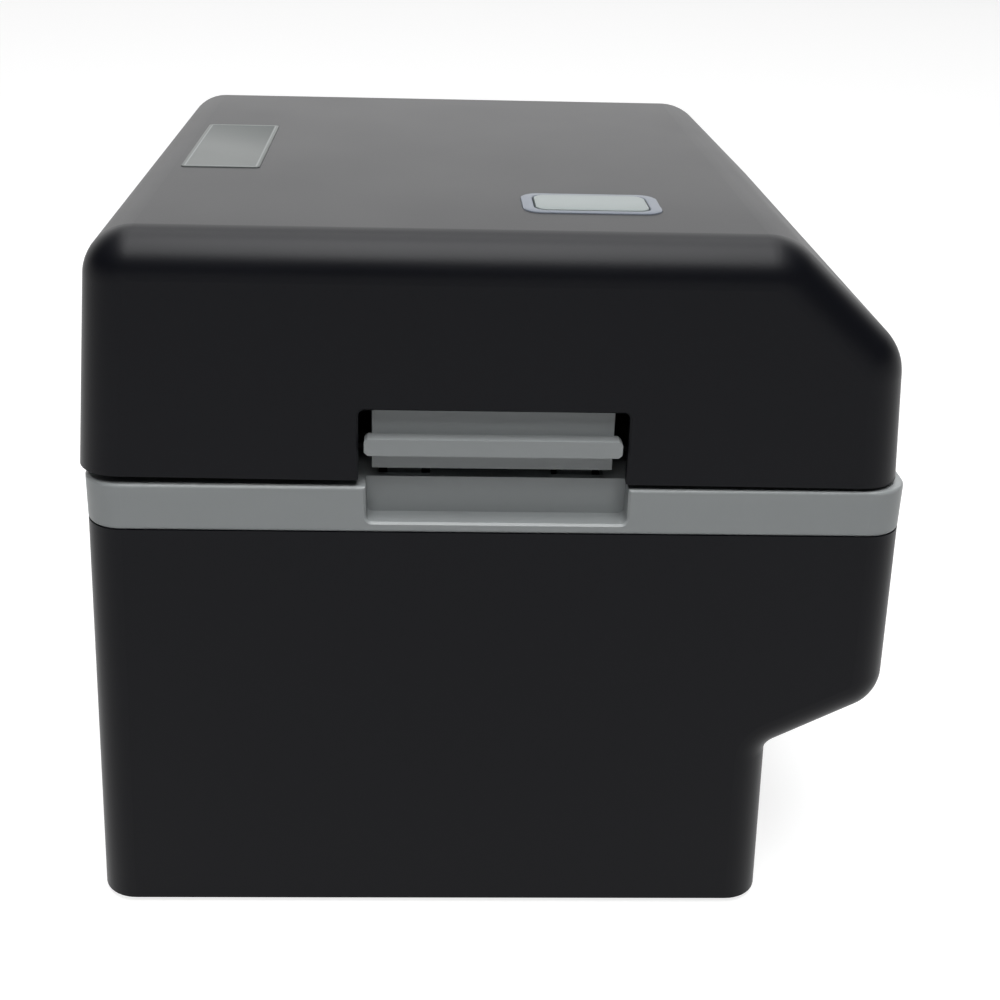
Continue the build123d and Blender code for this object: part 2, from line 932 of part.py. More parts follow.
# Gear plate: a steel bracket under the deck, with the idler's stud
plate_front = platen_y - 8.5
plate_rear = motor_y + motor_size / 2
plate_bottom = motor_z - motor_size / 2
motor_screw_places = [
    (motor_y + side_y * motor_screw_spacing / 2, motor_z + side_z * motor_screw_spacing / 2)
    for side_y in (-1, 1)
    for side_z in (-1, 1)
]
with BuildPart() as gear_plate:
    with BuildSketch(Plane.YZ.offset(plate_outer)) as sheet:
        with BuildLine():
            Polyline(
                (plate_front, plate_bottom + 4),
                (plate_front + 4, plate_bottom),
                (plate_rear, plate_bottom),
                (plate_rear, motor_z + motor_size / 2 - 4),
                (flange_back, motor_z + motor_size / 2),
                (flange_back, deck_under),
                (flange_front, deck_under),
                (flange_front, platen_z),
                (plate_front, platen_z),
                close=True,
            )
        make_face()
        with Locations((motor_y, motor_z)):
            Circle(motor_boss_radius + running_clearance, mode=Mode.SUBTRACT)
        with Locations((platen_y, platen_z)):
            Circle(shaft_radius + 1, mode=Mode.SUBTRACT)
        with Locations(*motor_screw_places):
            Circle(screw_hole_radius, mode=Mode.SUBTRACT)
    extrude(amount=gear_plate_thickness)
    flange = brick(
        plate_outer - 10, plate_outer, flange_front, flange_back, deck_under - gear_plate_thickness, deck_under
    )
    add(flange)
    for y in flange_screw_y:
        hole = column(screw_radius, flange_screw_x, y, deck_under - 3, deck_under)
        add(hole, mode=Mode.SUBTRACT)
    add(rod(idler_stud_radius, plate_outer - gear_width - 2.2, plate_outer, idler_y, idler_z))
save(gear_plate.part, "gear_plate")

with BuildPart() as plate_screws:
    for y in flange_screw_y:
        add(column(screw_radius, flange_screw_x, y, deck_under - gear_plate_thickness, deck_top))
        add(column(screw_head_radius, flange_screw_x, y, deck_top, deck_top + screw_head_height))
save(plate_screws.part, "plate_screws")

# Stepper motor, its shaft and its four screws
with BuildPart() as stepper_motor:
    with BuildSketch(Plane.YZ.offset(plate_inner)) as can:
        with Locations((motor_y, motor_z)):
            Rectangle(motor_size, motor_size)
        chamfer(can.vertices(), 4)
    extrude(amount=motor_length)
    add(rod(motor_boss_radius, plate_outer, plate_inner, motor_y, motor_z))
    shaft_bore = rod(
        motor_shaft_radius + running_clearance, plate_outer, plate_inner + motor_length / 2, motor_y, motor_z
    )
    add(shaft_bore, mode=Mode.SUBTRACT)
    for y, z in motor_screw_places:
        add(rod(screw_hole_radius, plate_inner, plate_inner + 4, y, z), mode=Mode.SUBTRACT)
save(stepper_motor.part, "stepper_motor")

motor_shaft = rod(
    motor_shaft_radius,
    -gear_offset - gear_width - 1,
    plate_inner + motor_length / 2 - 0.5,
    motor_y,
    motor_z,
)
save(motor_shaft, "motor_shaft")

with BuildPart() as motor_screws:
    for y, z in motor_screw_places:
        add(rod(screw_radius, plate_outer, plate_inner + 3.5, y, z))
        add(rod(screw_head_radius, plate_outer - 1.1, plate_outer, y, z))
save(motor_screws.part, "motor_screws")

# Tear bar: a serrated steel strip on the inner face of the band's front wall
tear_y = y_front + band_wall
tear_tip = deck_top + tear_bar_rise
tear_root = tear_tip - tear_tooth_height
with BuildPart() as tear_bar:
    with BuildSketch(Plane.XZ.offset(-tear_y - tear_bar_thickness)):
        with BuildLine():
            teeth = int(tear_bar_length / tear_bar_pitch)
            left = -teeth * tear_bar_pitch / 2
            edge = [(left, tear_tip - tear_bar_height)]
            for tooth in range(teeth):
                edge.append((left + tooth * tear_bar_pitch, tear_root))
                edge.append((left + (tooth + 0.5) * tear_bar_pitch, tear_tip))
            edge.append((-left, tear_root))
            edge.append((-left, tear_tip - tear_bar_height))
            Polyline(*edge, close=True)
        make_face()
    extrude(amount=tear_bar_thickness)
save(tear_bar.part, "tear_bar")

# Label sensor, set in the ramp between the platen and the roll
sensor_y = (deck_slot_back + roll_y - tray_outer - tray_flange) / 2
with BuildPart() as label_sensor:
    add(
        brick(
            -sensor_length / 2,
            sensor_length / 2,
            sensor_y - sensor_depth / 2,
            sensor_y + sensor_depth / 2,
            deck_top,
            deck_top + sensor_height,
        )
    )
save(label_sensor.part, "label_sensor")

# Cover switch on the deck, which tells that the lid is closed
cover_x = half_width - cover_switch_inset
cover_y = deck_slot_back + cover_switch_depth
cover_top = deck_top + cover_switch_height
with BuildPart() as cover_switch:
    add(
        brick(
            cover_x - cover_switch_width / 2,
            cover_x + cover_switch_width / 2,
            cover_y - cover_switch_depth / 2,
            cover_y + cover_switch_depth / 2,
            deck_top,
            cover_top,
        )
    )
    add(
        brick(
            cover_x - switch_button_width / 2,
            cover_x + switch_button_width / 2,
            cover_y - switch_button_depth / 2,
            cover_y + switch_button_depth / 2,
            cover_top,
            cover_top + switch_button_height,
        )
    )
save(cover_switch.part, "cover_switch")

# Main board on its standoffs, with its chips
with BuildPart() as main_board:
    add(
        brick(
            pcb_x - pcb_length / 2, pcb_x + pcb_length / 2, pcb_back - pcb_width, pcb_back, pcb_z, pcb_top
        )
    )
    for x, y in standoff_places:
        add(column(screw_radius, x, y, pcb_z, pcb_top), mode=Mode.SUBTRACT)
save(main_board.part, "main_board")

capacitor_x = pcb_x + 2 * capacitor_radius
with BuildPart() as board_chips:
    add(brick(-30, -14, pcb_back - 46, pcb_back - 30, pcb_top, pcb_top + 1.6))
    add(brick(-4, 6, pcb_back - 52, pcb_back - 38, pcb_top, pcb_top + 1.4))
    add(brick(26, 38, pcb_back - 54, pcb_back - 42, pcb_top, pcb_top + 1.8))
    for place in (0, 1, 3):
        x = capacitor_x + place * capacitor_spacing
        add(column(capacitor_radius, x, pcb_back - 26, pcb_top, pcb_top + capacitor_height))
save(board_chips.part, "board_chips")

with BuildPart() as board_screws:
    for x, y in standoff_places:
        add(column(screw_radius, x, y, pcb_z - 4, pcb_top))
        add(column(screw_head_radius, x, y, pcb_top, pcb_top + screw_head_height))
save(board_screws.part, "board_screws")

# Rear sockets, soldered on the board and reaching through the back wall
socket_back = y_back + rear_flare - 0.5
with BuildPart() as usb_port:
    add(
        brick(
            usb_x - usb_width / 2,
            usb_x + usb_width / 2,
            socket_back - usb_length,
            socket_back,
            pcb_top,
            pcb_top + usb_height,
        )
    )
    mouth = brick(
        usb_x - usb_width / 2 + 1.5,
        usb_x + usb_width / 2 - 1.5,
        socket_back - 9,
        socket_back,
        pcb_top + 1.5,
        pcb_top + usb_height - 1.5,
    )
    add(mouth, mode=Mode.SUBTRACT)
    tongue = brick(usb_x - 2.8, usb_x + 2.8, socket_back - 9, socket_back - 1, pcb_top + 4, pcb_top + 7)
    add(tongue)
save(usb_port.part, "usb_port")

with BuildPart() as dc_jack:
    add(
        brick(
            jack_x - jack_width / 2,
            jack_x + jack_width / 2,
            socket_back - jack_length,
            socket_back,
            pcb_top,
            pcb_top + jack_height,
        )
    )
    jack_z = pcb_top + jack_height / 2
    add(cross_rod(jack_bore, socket_back - 10, socket_back, jack_x, jack_z), mode=Mode.SUBTRACT)
    add(cross_rod(jack_pin, socket_back - 10, socket_back - 1, jack_x, jack_z))
save(dc_jack.part, "dc_jack")

# Power switch: a housing clipped in the back wall, and its rocker
switch_z = base_z + switch_height
switch_face = y_back + rear_flare - flare_slope * switch_height
rocker_y = switch_face - 2.2
rocker_half_width = switch_width / 2 - 2
rocker_half_height = switch_tall / 2 - 2.2
with BuildPart() as switch_housing:
    rear_rim = brick(
        switch_x - switch_width / 2 - 1,
        switch_x + switch_width / 2 + 1,
        switch_face + 0.35,
        switch_face + 0.35 + switch_rim,
        switch_z - switch_tall / 2 - 1,
        switch_z + switch_tall / 2 + 1,
    )
    add(rear_rim)
    add(
        brick(
            switch_x - switch_width / 2,
            switch_x + switch_width / 2,
            switch_face - switch_length,
            switch_face + 0.35,
            switch_z - switch_tall / 2,
            switch_z + switch_tall / 2,
        )
    )
    well = brick(
        switch_x - rocker_half_width - clearance,
        switch_x + rocker_half_width + clearance,
        switch_face - 8,
        switch_face + 3,
        switch_z - rocker_half_height - 1,
        switch_z + rocker_half_height + 1,
    )
    add(well, mode=Mode.SUBTRACT)
    for side in (-1, 1):
        near = switch_x + side * (rocker_half_width - 1)
        far = switch_x + side * (switch_width / 2 - 0.5)
        axle_hole = rod(
            rocker_axle_radius + running_clearance, min(near, far), max(near, far), rocker_y, switch_z
        )
        add(axle_hole, mode=Mode.SUBTRACT)
save(switch_housing.part, "switch_housing")

with BuildPart() as power_rocker:
    with BuildSketch(Plane.YZ.offset(switch_x - rocker_half_width)) as wedge:
        with BuildLine():
            crown = rocker_y + 2.6
            rise = rocker_half_height * tan(rocker_angle * pi / 180)
            Polyline(
                (rocker_y - 2.4, switch_z - 3),
                (crown - rise * 0.2, switch_z - rocker_half_height),
                (crown, switch_z),
                (crown + rise * 1.6, switch_z + rocker_half_height),
                (rocker_y - 2.4, switch_z + 3),
                close=True,
            )
        make_face()
    extrude(amount=2 * rocker_half_width)
    add(
        rod(
            rocker_axle_radius,
            switch_x - switch_width / 2 + 0.8,
            switch_x + switch_width / 2 - 0.8,
            rocker_y,
            switch_z,
        )
    )
save(power_rocker.part, "power_rocker")

# Lid: a thin shell with a sloped front, open below
lid_bottom = deck_top - lid_skirt
lid_height = top_z - lid_z_rear
rear_run = lid_rear_taper / lid_height
front_run = lid_front_taper / (slope_z - lid_z_front)
lid_outline = [
    (lid_y_back + rear_run * (lid_z_rear - lid_bottom), lid_bottom),
    (lid_y_front - front_run * (lid_z_front - lid_bottom), lid_bottom),
    (lid_y_front + lid_front_taper, slope_z),
    (slope_y, top_z),
    (lid_y_back - lid_rear_taper, top_z),
]
lid_roundings = [
    (lid_outline[2], slope_radius),
    (lid_outline[3], slope_radius),
    (lid_outline[4], lid_top_radius),
]
lid_outer = side_block(lid_outline, lid_roundings, half_width, lid_corner, 0)
lid_inner = side_block(lid_outline, lid_roundings, half_width, lid_corner, wall)
lid_rim = Plane(
    origin=(0, y_front, lid_z_front), x_dir=(1, 0, 0), z_dir=(0, -sin(lid_tilt), cos(lid_tilt))
)
pivot_x = half_width - lever_back_depth - lever_barrel_radius + 0.2
pivot_z = deck_top + lever_pivot_height
notch_top = deck_top + notch_height + 0.3
lug_reach = lever_length / 2 + lever_spring_length + 0.5
button_y = y_front + button_setback
board_top = top_z - board_drop
bridge_y = platen_y + 7.5
bridge_under = platen_z + platen_radius + nip_gap + head_thickness + sink_height + carrier_height
bridge_under += head_spring_length
bridge_top = bridge_under + bridge_thickness
boss_places = [
    (side * boss_spacing / 2, bridge_y + end * boss_pitch / 2) for side in (-1, 1) for end in (-1, 1)
]
board_bosses = [
    (button_x, button_y + side * (frame_length / 2 + 5)) for side in (-1, 1)
]

with BuildPart() as lid_shell:
    add(lid_outer)
    add(lid_inner, mode=Mode.SUBTRACT)
    split(bisect_by=lid_rim, keep=Keep.TOP)
    for x, y in boss_places:
        add(column(boss_radius, x, y, bridge_top, top_z) & lid_outer)
    for x, y in board_bosses:
        add(column(screw_head_radius, x, y, board_top, top_z - wall + 0.5))
    for x, y in boss_places:
        hole = column(screw_hole_radius, x, y, bridge_top, bridge_top + screw_length - 4)
        add(hole, mode=Mode.SUBTRACT)
    for x, y in board_bosses:
        add(column(screw_radius, x, y, board_top, board_top + 5), mode=Mode.SUBTRACT)
    # Side notches for the release levers, and the lugs that hold their pins
    for side in (-1, 1):
        notch_inner = half_width - wall - 1
        notch = side_cut(
            side, notch_inner, y_grip, notch_length, deck_top - 1, notch_top, notch_radius, -1
        )
        add(notch, mode=Mode.SUBTRACT)
        for end in (-1, 1):
            near = y_grip + end * lug_reach
            far = near + end * lever_lug_thickness
            lug = brick(
                side * (pivot_x - lever_barrel_radius),
                side * (half_width - wall + 0.5),
                near,
                far,
                pivot_z - lever_barrel_radius,
                pivot_z + lever_barrel_radius,
            )
            add(lug)
            bore = cross_rod(
                lever_pin_radius + press_clearance, min(near, far), max(near, far), side * pivot_x, pivot_z
            )
            add(bore, mode=Mode.SUBTRACT)
    # Label mouth in the front edge
    label_mouth = brick(
        -mouth_width / 2,
        mouth_width / 2,
        lid_y_front - 2,
        lid_y_front + 6,
        deck_top - 1,
        lid_z_front + mouth_height,
    )
    add(label_mouth, mode=Mode.SUBTRACT)
    # Opening for the button's frame, and the seat for the plate
    with BuildSketch(Plane.XY.offset(top_z - wall - 1)):
        with Locations((button_x, button_y)):
            RectangleRounded(frame_width - 2, frame_length - 2, frame_radius - 1)
    extrude(amount=wall + 2, mode=Mode.SUBTRACT)
    with BuildSketch(Plane.XY.offset(top_z - 0.8)):
        with Locations((button_x, button_y)):
            RectangleRounded(frame_width + 0.1, frame_length + 0.1, frame_radius)
    extrude(amount=2, mode=Mode.SUBTRACT)
    plate_y = lid_y_back - plate_inset
    with BuildSketch(Plane.XY.offset(top_z - plate_recess)):
        with Locations((plate_x, plate_y)):
            RectangleRounded(plate_length + 0.1, plate_width + 0.1, plate_radius)
    extrude(amount=2, mode=Mode.SUBTRACT)
    # Rear cut-outs for the hinge ears, and the knuckles between them
    for side in (-1, 1):
        middle = side * hinge_spacing / 2
        gap = hinge_ear_half + hinge_ear + clearance
        ear_room = brick(
            middle - gap,
            middle + gap,
            hinge_y - hinge_radius - clearance - 3,
            lid_y_back + 2,
            deck_top - 1,
            hinge_z + hinge_radius + 0.5,
        )
        add(ear_room, mode=Mode.SUBTRACT)
        half = hinge_knuckle / 2
        web = brick(
            middle - half, middle + half, hinge_y - 2.4, hinge_y + 0.9, hinge_z, hinge_z + hinge_radius + 3
        )
        add(web)
        add(rod(hinge_radius, middle - half, middle + half, hinge_y, hinge_z))
        pin_bore = rod(
            hinge_pin_radius + running_clearance, middle - half, middle + half, hinge_y, hinge_z
        )
        add(pin_bore, mode=Mode.SUBTRACT)
save(lid_shell.part, "lid_shell")

# Plate at the rear of the lid, left bare
with BuildPart() as name_plate:
    with BuildSketch(Plane.XY.offset(top_z - plate_recess)):
        with Locations((plate_x, plate_y)):
            RectangleRounded(plate_length, plate_width, plate_radius)
    extrude(amount=plate_thickness)
save(name_plate.part, "name_plate")

# Frame round the button, set in the lid, and the button in it
frame_top = top_z + frame_rise
with BuildPart() as button_frame:
    with BuildSketch(Plane.XY.offset(top_z - 0.8)):
        with Locations((button_x, button_y)):
            RectangleRounded(frame_width, frame_length, frame_radius)
    extrude(amount=0.8 + frame_rise)
    with BuildSketch(Plane.XY.offset(top_z - wall - 1)):
        with Locations((button_x, button_y)):
            RectangleRounded(frame_width - 2.1, frame_length - 2.1, frame_radius - 1)
    extrude(amount=wall + 0.2)
    with BuildSketch(Plane.XY.offset(top_z - wall - 2)):
        with Locations((button_x, button_y)):
            RectangleRounded(button_width + 0.6, button_length + 0.6, button_radius + clearance)
    extrude(amount=wall + 4, mode=Mode.SUBTRACT)
save(button_frame.part, "button_frame")

with BuildPart() as feed_button:
    with BuildSketch(Plane.XY.offset(top_z - wall - 1 - clearance - button_flange)):
        with Locations((button_x, button_y)):
            RectangleRounded(button_width + 2.4, button_length + 2.4, button_radius)
    extrude(amount=button_flange)
    with BuildSketch(Plane.XY.offset(top_z - wall - 1 - clearance - button_flange)):
        with Locations((button_x, button_y)):
            RectangleRounded(button_width, button_length, button_radius)
    extrude(amount=frame_top + 0.2 - (top_z - wall - 1 - clearance - button_flange))
    crown = feed_button.faces().sort_by(Axis.Z)[-1].edges()
    fillet(crown, 0.4)
    stem_low = board_top + push_switch_height + plunger_height + button_travel + press_gap
    add(column(stem_radius, button_x, button_y, stem_low, top_z - wall))
save(feed_button.part, "feed_button")

# Button board with its push switch
with BuildPart() as button_board:
    add(
        brick(
            button_x - button_board_width / 2,
            button_x + button_board_width / 2,
            button_y - frame_length / 2 - button_board_width / 2,
            button_y + frame_length / 2 + button_board_width / 2,
            board_top - pcb_thickness,
            board_top,
        )
    )
    for x, y in board_bosses:
        hole = column(screw_radius, x, y, board_top - pcb_thickness, board_top)
        add(hole, mode=Mode.SUBTRACT)
save(button_board.part, "button_board")

with BuildPart() as push_switch:
    half = push_switch_size / 2
    plunger_low = board_top + push_switch_height
    add(brick(button_x - half, button_x + half, button_y - half, button_y + half, board_top, plunger_low))
    add(column(plunger_radius, button_x, button_y, plunger_low, plunger_low + plunger_height))
save(push_switch.part, "push_switch")

with BuildPart() as button_screws:
    for x, y in board_bosses:
        add(column(screw_radius, x, y, board_top - pcb_thickness, board_top + 4.5))
        low = board_top - pcb_thickness - screw_head_height
        add(column(screw_head_radius, x, y, low, board_top - pcb_thickness))
save(button_screws.part, "button_screws")


def release_lever(side):
    """A release lever: a plate with a finger bar outside, and two hooks inside."""
    face = half_width - lever_face_depth
    back_face = half_width - lever_back_depth
    inner_face = back_face - lever_thickness
    leg_face = half_width - lever_leg_depth
    leg_inner = leg_face - lever_thickness
    low = deck_top + lever_foot_height
    y0 = y_grip - lever_length / 2
    y1 = y_grip + lever_length / 2
    bar_low = deck_top + bar_height
    with BuildPart() as lever:
        add(brick(side * inner_face, side * face, y0, y1, low, notch_top - lever_top_gap))
        add(brick(side * leg_inner, side * leg_face, y0, y1, low, pivot_z))
        add(cross_rod(lever_barrel_radius, y0, y1, side * pivot_x, pivot_z))
        with BuildSketch(Plane.YZ.offset(side * (face - 0.2))) as bar:
            with Locations((y_grip, bar_low + bar_thickness / 2)):
                Rectangle(bar_length, bar_thickness)
            chamfer(bar.vertices(), bar_chamfer)
        extrude(amount=side * (lever_face_depth + 0.2))
        for y in hook_places:
            near = y - hook_width / 2
            far = y + hook_width / 2
            nose_top = deck_under - clearance
            nose_low = nose_top - hook_nose_height
            add(brick(side * hook_inner, side * (leg_inner + wall / 2), near, far, low, low + wall))
            arm_outer = hook_inner + hook_thickness
            add(brick(side * hook_inner, side * arm_outer, near, far, nose_low, low + wall))
            with BuildSketch(Plane.XZ.offset(-far)):
                with BuildLine():
                    Polyline(
                        (side * (hook_inner + 0.2), nose_low),
                        (side * (hook_inner + 0.2), nose_top),
                        (side * nose_tip, nose_top),
                        (side * nose_tip, nose_top - 0.8),
                        (side * hook_inner, nose_low),
                        close=True,
                    )
                make_face()
            extrude(amount=hook_width)
        bore = cross_rod(lever_pin_radius + running_clearance, y0, y1, side * pivot_x, pivot_z)
        add(bore, mode=Mode.SUBTRACT)
    return lever.part


save(release_lever(-1), "release_lever_left")
save(release_lever(1), "release_lever_right")

# Pivot pins and torsion springs of the two levers
pin_reach = lug_reach + lever_lug_thickness
with BuildPart() as lever_pins:
    for side in (-1, 1):
        add(cross_rod(lever_pin_radius, y_grip - pin_reach, y_grip + pin_reach, side * pivot_x, pivot_z))
save(lever_pins.part, "lever_pins")

with BuildPart() as lever_springs:
    for side in (-1, 1):
        start = y_grip + lever_length / 2 + 0.25
        coil = cross_rod(
            lever_spring_radius,
            start,
            start + lever_spring_length,
            side * pivot_x,
            pivot_z,
            lever_pin_radius + running_clearance,
        )
        add(coil)
save(lever_springs.part, "lever_springs")

# Print head: a ceramic strip under an aluminium heat sink, on a sprung carrier
head_z = platen_z + platen_radius + nip_gap
sink_z = head_z + head_thickness
carrier_z = sink_z + sink_height
carrier_top = carrier_z + carrier_height
sink_y = platen_y + 3.5
with BuildPart() as print_head:
    add(
        brick(
            -head_length / 2, head_length / 2, platen_y - head_depth / 2, platen_y + head_depth / 2, head_z, sink_z
        )
    )
save(print_head.part, "print_head")

with BuildPart() as heat_sink:
    add(
        brick(
            -sink_length / 2, sink_length / 2, sink_y - sink_depth / 2, sink_y + sink_depth / 2, sink_z, carrier_z
        )
    )
    for groove in range(-2, 3):
        y = sink_y + groove * 3.6
        slot = brick(-sink_length / 2, sink_length / 2, y - 0.8, y + 0.8, sink_z + 2, carrier_z)
        add(slot, mode=Mode.SUBTRACT)
save(heat_sink.part, "heat_sink")

with BuildPart() as head_carrier:
    add(
        brick(
            -sink_length / 2 - 2,
            sink_length / 2 + 2,
            sink_y - sink_depth / 2,
            sink_y + sink_depth / 2,
            carrier_z,
            carrier_top,
        )
    )
    for side in (-1, 1):
        hole = column(
            head_pin_radius + running_clearance, side * head_pin_spacing / 2, sink_y, carrier_z, carrier_top
        )
        add(hole, mode=Mode.SUBTRACT)
save(head_carrier.part, "head_carrier")

with BuildPart() as head_springs:
    for side in (-1, 1):
        coil = column(
            head_spring_radius, side * head_spring_spacing / 2, sink_y, carrier_top, bridge_under, 3.3
        )
        add(coil)
save(head_springs.part, "head_springs")

# Bridge across the lid, which holds the head's springs and guide pins
with BuildPart() as lid_bridge:
    with BuildSketch(Plane.XY.offset(bridge_under)):
        with Locations((0, bridge_y)):
            RectangleRounded(bridge_length, bridge_depth, 4)
        with Locations(*boss_places):
            Circle(screw_hole_radius, mode=Mode.SUBTRACT)
    extrude(amount=bridge_thickness)
    for side in (-1, 1):
        low = carrier_top - head_travel + 0.6
        add(column(head_pin_radius, side * head_pin_spacing / 2, sink_y, low, bridge_under))
save(lid_bridge.part, "lid_bridge")

with BuildPart() as bridge_screws:
    for x, y in boss_places:
        add(column(screw_radius, x, y, bridge_under, bridge_top + screw_length - 5))
        add(column(screw_head_radius, x, y, bridge_under - screw_head_height, bridge_under))
save(bridge_screws.part, "bridge_screws")

print("hinge", round(hinge_y, 3), round(hinge_z, 3))
print("lever pivot", round(pivot_x, 3), round(pivot_z, 3))
print("platen", round(platen_y, 3), round(platen_z, 3))
print("idler", round(idler_y, 3), round(idler_z, 3))
print("motor", round(motor_y, 3), round(motor_z, 3))
print("rocker", round(rocker_y, 3), round(switch_z, 3))
print("guide pinion", round(roll_y, 3))
print("carrier top and bridge", round(carrier_top, 3), round(bridge_under, 3))
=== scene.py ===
from math import cos, pi, radians, sin

import bmesh
import bpy
from mathutils import Matrix, Vector


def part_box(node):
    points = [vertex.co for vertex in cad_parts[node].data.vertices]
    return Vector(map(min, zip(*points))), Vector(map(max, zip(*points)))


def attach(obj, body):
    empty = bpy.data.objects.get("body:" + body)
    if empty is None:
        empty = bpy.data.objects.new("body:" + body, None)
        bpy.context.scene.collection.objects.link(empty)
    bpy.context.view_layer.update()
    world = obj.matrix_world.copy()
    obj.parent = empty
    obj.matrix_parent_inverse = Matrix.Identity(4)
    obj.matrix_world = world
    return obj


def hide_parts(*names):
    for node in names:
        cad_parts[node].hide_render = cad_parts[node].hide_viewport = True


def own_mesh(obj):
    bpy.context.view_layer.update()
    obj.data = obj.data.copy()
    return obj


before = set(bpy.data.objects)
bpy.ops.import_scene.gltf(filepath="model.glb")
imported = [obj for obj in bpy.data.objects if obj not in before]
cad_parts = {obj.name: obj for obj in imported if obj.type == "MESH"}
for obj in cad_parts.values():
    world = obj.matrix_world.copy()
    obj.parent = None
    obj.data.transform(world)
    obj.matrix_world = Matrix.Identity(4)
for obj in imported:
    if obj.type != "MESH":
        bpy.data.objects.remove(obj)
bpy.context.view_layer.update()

# The camera stands at the printer's left side, a little above its lid, and
# looks along the printer's width with the front to the right.
eye = Matrix.Translation((-0.39429, 0.01766, 0.25568))
heading = Matrix.Rotation(radians(-92.08), 4, "Z")
tilt = Matrix.Rotation(radians(67.643), 4, "X")
roll = Matrix.Rotation(radians(1.499), 4, "Z")
camera = bpy.data.objects.new("camera", bpy.data.cameras.new("camera"))
bpy.context.collection.objects.link(camera)
camera.matrix_world = eye @ heading @ tilt @ roll
camera.data.sensor_width = 36.0
camera.data.lens = 53.42
camera.data.shift_x = 0.0316
camera.data.shift_y = -0.07
camera.data.clip_start = 0.01
bpy.context.scene.camera = camera
bpy.context.scene.view_settings.view_transform = "Standard"

# A studio room: bright behind the printer and dim on the camera's side, so
# that the black sides stay black and the top catches the light.
far_light = 2.0
near_light = 0.03
world = bpy.data.worlds.new("studio")
bpy.context.scene.world = world
world.use_nodes = True
room = world.node_tree
room.nodes.clear()
direction = room.nodes.new("ShaderNodeTexCoord")
axes = room.nodes.new("ShaderNodeSeparateXYZ")
light_level = room.nodes.new("ShaderNodeMapRange")
light_level.interpolation_type = "SMOOTHSTEP"
light_level.inputs["From Min"].default_value = 0.22
light_level.inputs["From Max"].default_value = 0.8
light_level.inputs["To Min"].default_value = near_light
light_level.inputs["To Max"].default_value = far_light
glow = room.nodes.new("ShaderNodeBackground")
sky = room.nodes.new("ShaderNodeOutputWorld")
room.links.new(direction.outputs["Generated"], axes.inputs[0])
room.links.new(axes.outputs["X"], light_level.inputs["Value"])
room.links.new(light_level.outputs[0], glow.inputs["Strength"])
room.links.new(glow.outputs[0], sky.inputs["Surface"])


def soft_box(name, place, aim, width, height, watts):
    """A large diffused lamp, turned towards a point and out of the camera's sight."""
    lamp = bpy.data.lights.new(name, "AREA")
    lamp.shape = "RECTANGLE"
    lamp.size = width
    lamp.size_y = height
    lamp.energy = watts
    stand = bpy.data.objects.new(name, lamp)
    bpy.context.collection.objects.link(stand)
    stand.location = place
    stand.rotation_euler = (Vector(aim) - Vector(place)).to_track_quat("-Z", "Y").to_euler()
    stand.visible_camera = False
    return stand


# One soft box lights the printer from above. A pale ceiling over it gives no
# light of its own and shows only as sheen on round edges.
soft_box("overhead_light", (-0.36, 0.0, 1.05), (-0.05, 0.0, 0.12), 0.7, 0.95, 13.0)
ceiling_sheen = soft_box("ceiling_sheen", (-0.05, 0.0, 1.15), (-0.05, 0.0, 0.1), 1.5, 1.0, 20.0)
ceiling_sheen.visible_diffuse = False

# A white sweep: a round table top whose edge curves up into a low wall.
sweep_radius = 3.0
sweep_bend = 0.3
sweep_wall = 0.45
bm = bmesh.new()
profile = [bm.verts.new((0.01, 0, 0)), bm.verts.new((sweep_radius - sweep_bend, 0, 0))]
bend_steps = 8
for step in range(1, bend_steps + 1):
    angle = step / bend_steps * pi / 2
    reach = sweep_radius - sweep_bend + sweep_bend * sin(angle)
    profile.append(bm.verts.new((reach, 0, sweep_bend * (1 - cos(angle)))))
profile.append(bm.verts.new((sweep_radius, 0, sweep_wall)))
rails = [bm.edges.new(pair) for pair in zip(profile, profile[1:])]
bmesh.ops.spin(
    bm, geom=profile + rails, cent=(0, 0, 0), axis=(0, 0, 1), angle=2 * pi, steps=96, use_merge=True
)
inner_rim = [edge for edge in bm.edges if edge.is_boundary and edge.verts[0].co.z < sweep_bend / 2]
bmesh.ops.holes_fill(bm, edges=inner_rim)
bmesh.ops.reverse_faces(bm, faces=bm.faces)
for face in bm.faces:
    face.smooth = True
sweep = bpy.data.objects.new("sweep", bpy.data.meshes.new("sweep"))
bm.to_mesh(sweep.data)
bm.free()
bpy.context.collection.objects.link(sweep)
paper = bpy.data.materials.new("white_paper")
paper.use_nodes = True
tree = paper.node_tree
tree.nodes["Principled BSDF"].inputs["Base Color"].default_value = (0.4, 0.4, 0.4, 1)
tree.nodes["Principled BSDF"].inputs["Roughness"].default_value = 0.9
tree.nodes["Principled BSDF"].inputs["Specular IOR Level"].default_value = 0.1
path = tree.nodes.new("ShaderNodeLightPath")
seen = tree.nodes.new("ShaderNodeMath")
seen.operation = "ADD"
seen_too = tree.nodes.new("ShaderNodeMath")
seen_too.operation = "ADD"
seen_too.use_clamp = True
lift = tree.nodes.new("ShaderNodeMath")
lift.operation = "MULTIPLY"
lift.inputs[1].default_value = 0.8
tree.links.new(path.outputs["Is Camera Ray"], seen.inputs[0])
tree.links.new(path.outputs["Is Glossy Ray"], seen.inputs[1])
tree.links.new(seen.outputs[0], seen_too.inputs[0])
tree.links.new(path.outputs["Is Transmission Ray"], seen_too.inputs[1])
tree.links.new(seen_too.outputs[0], lift.inputs[0])
tree.nodes["Principled BSDF"].inputs["Emission Color"].default_value = (1, 1, 1, 1)
tree.links.new(lift.outputs[0], tree.nodes["Principled BSDF"].inputs["Emission Strength"])
sweep.data.materials.append(paper)


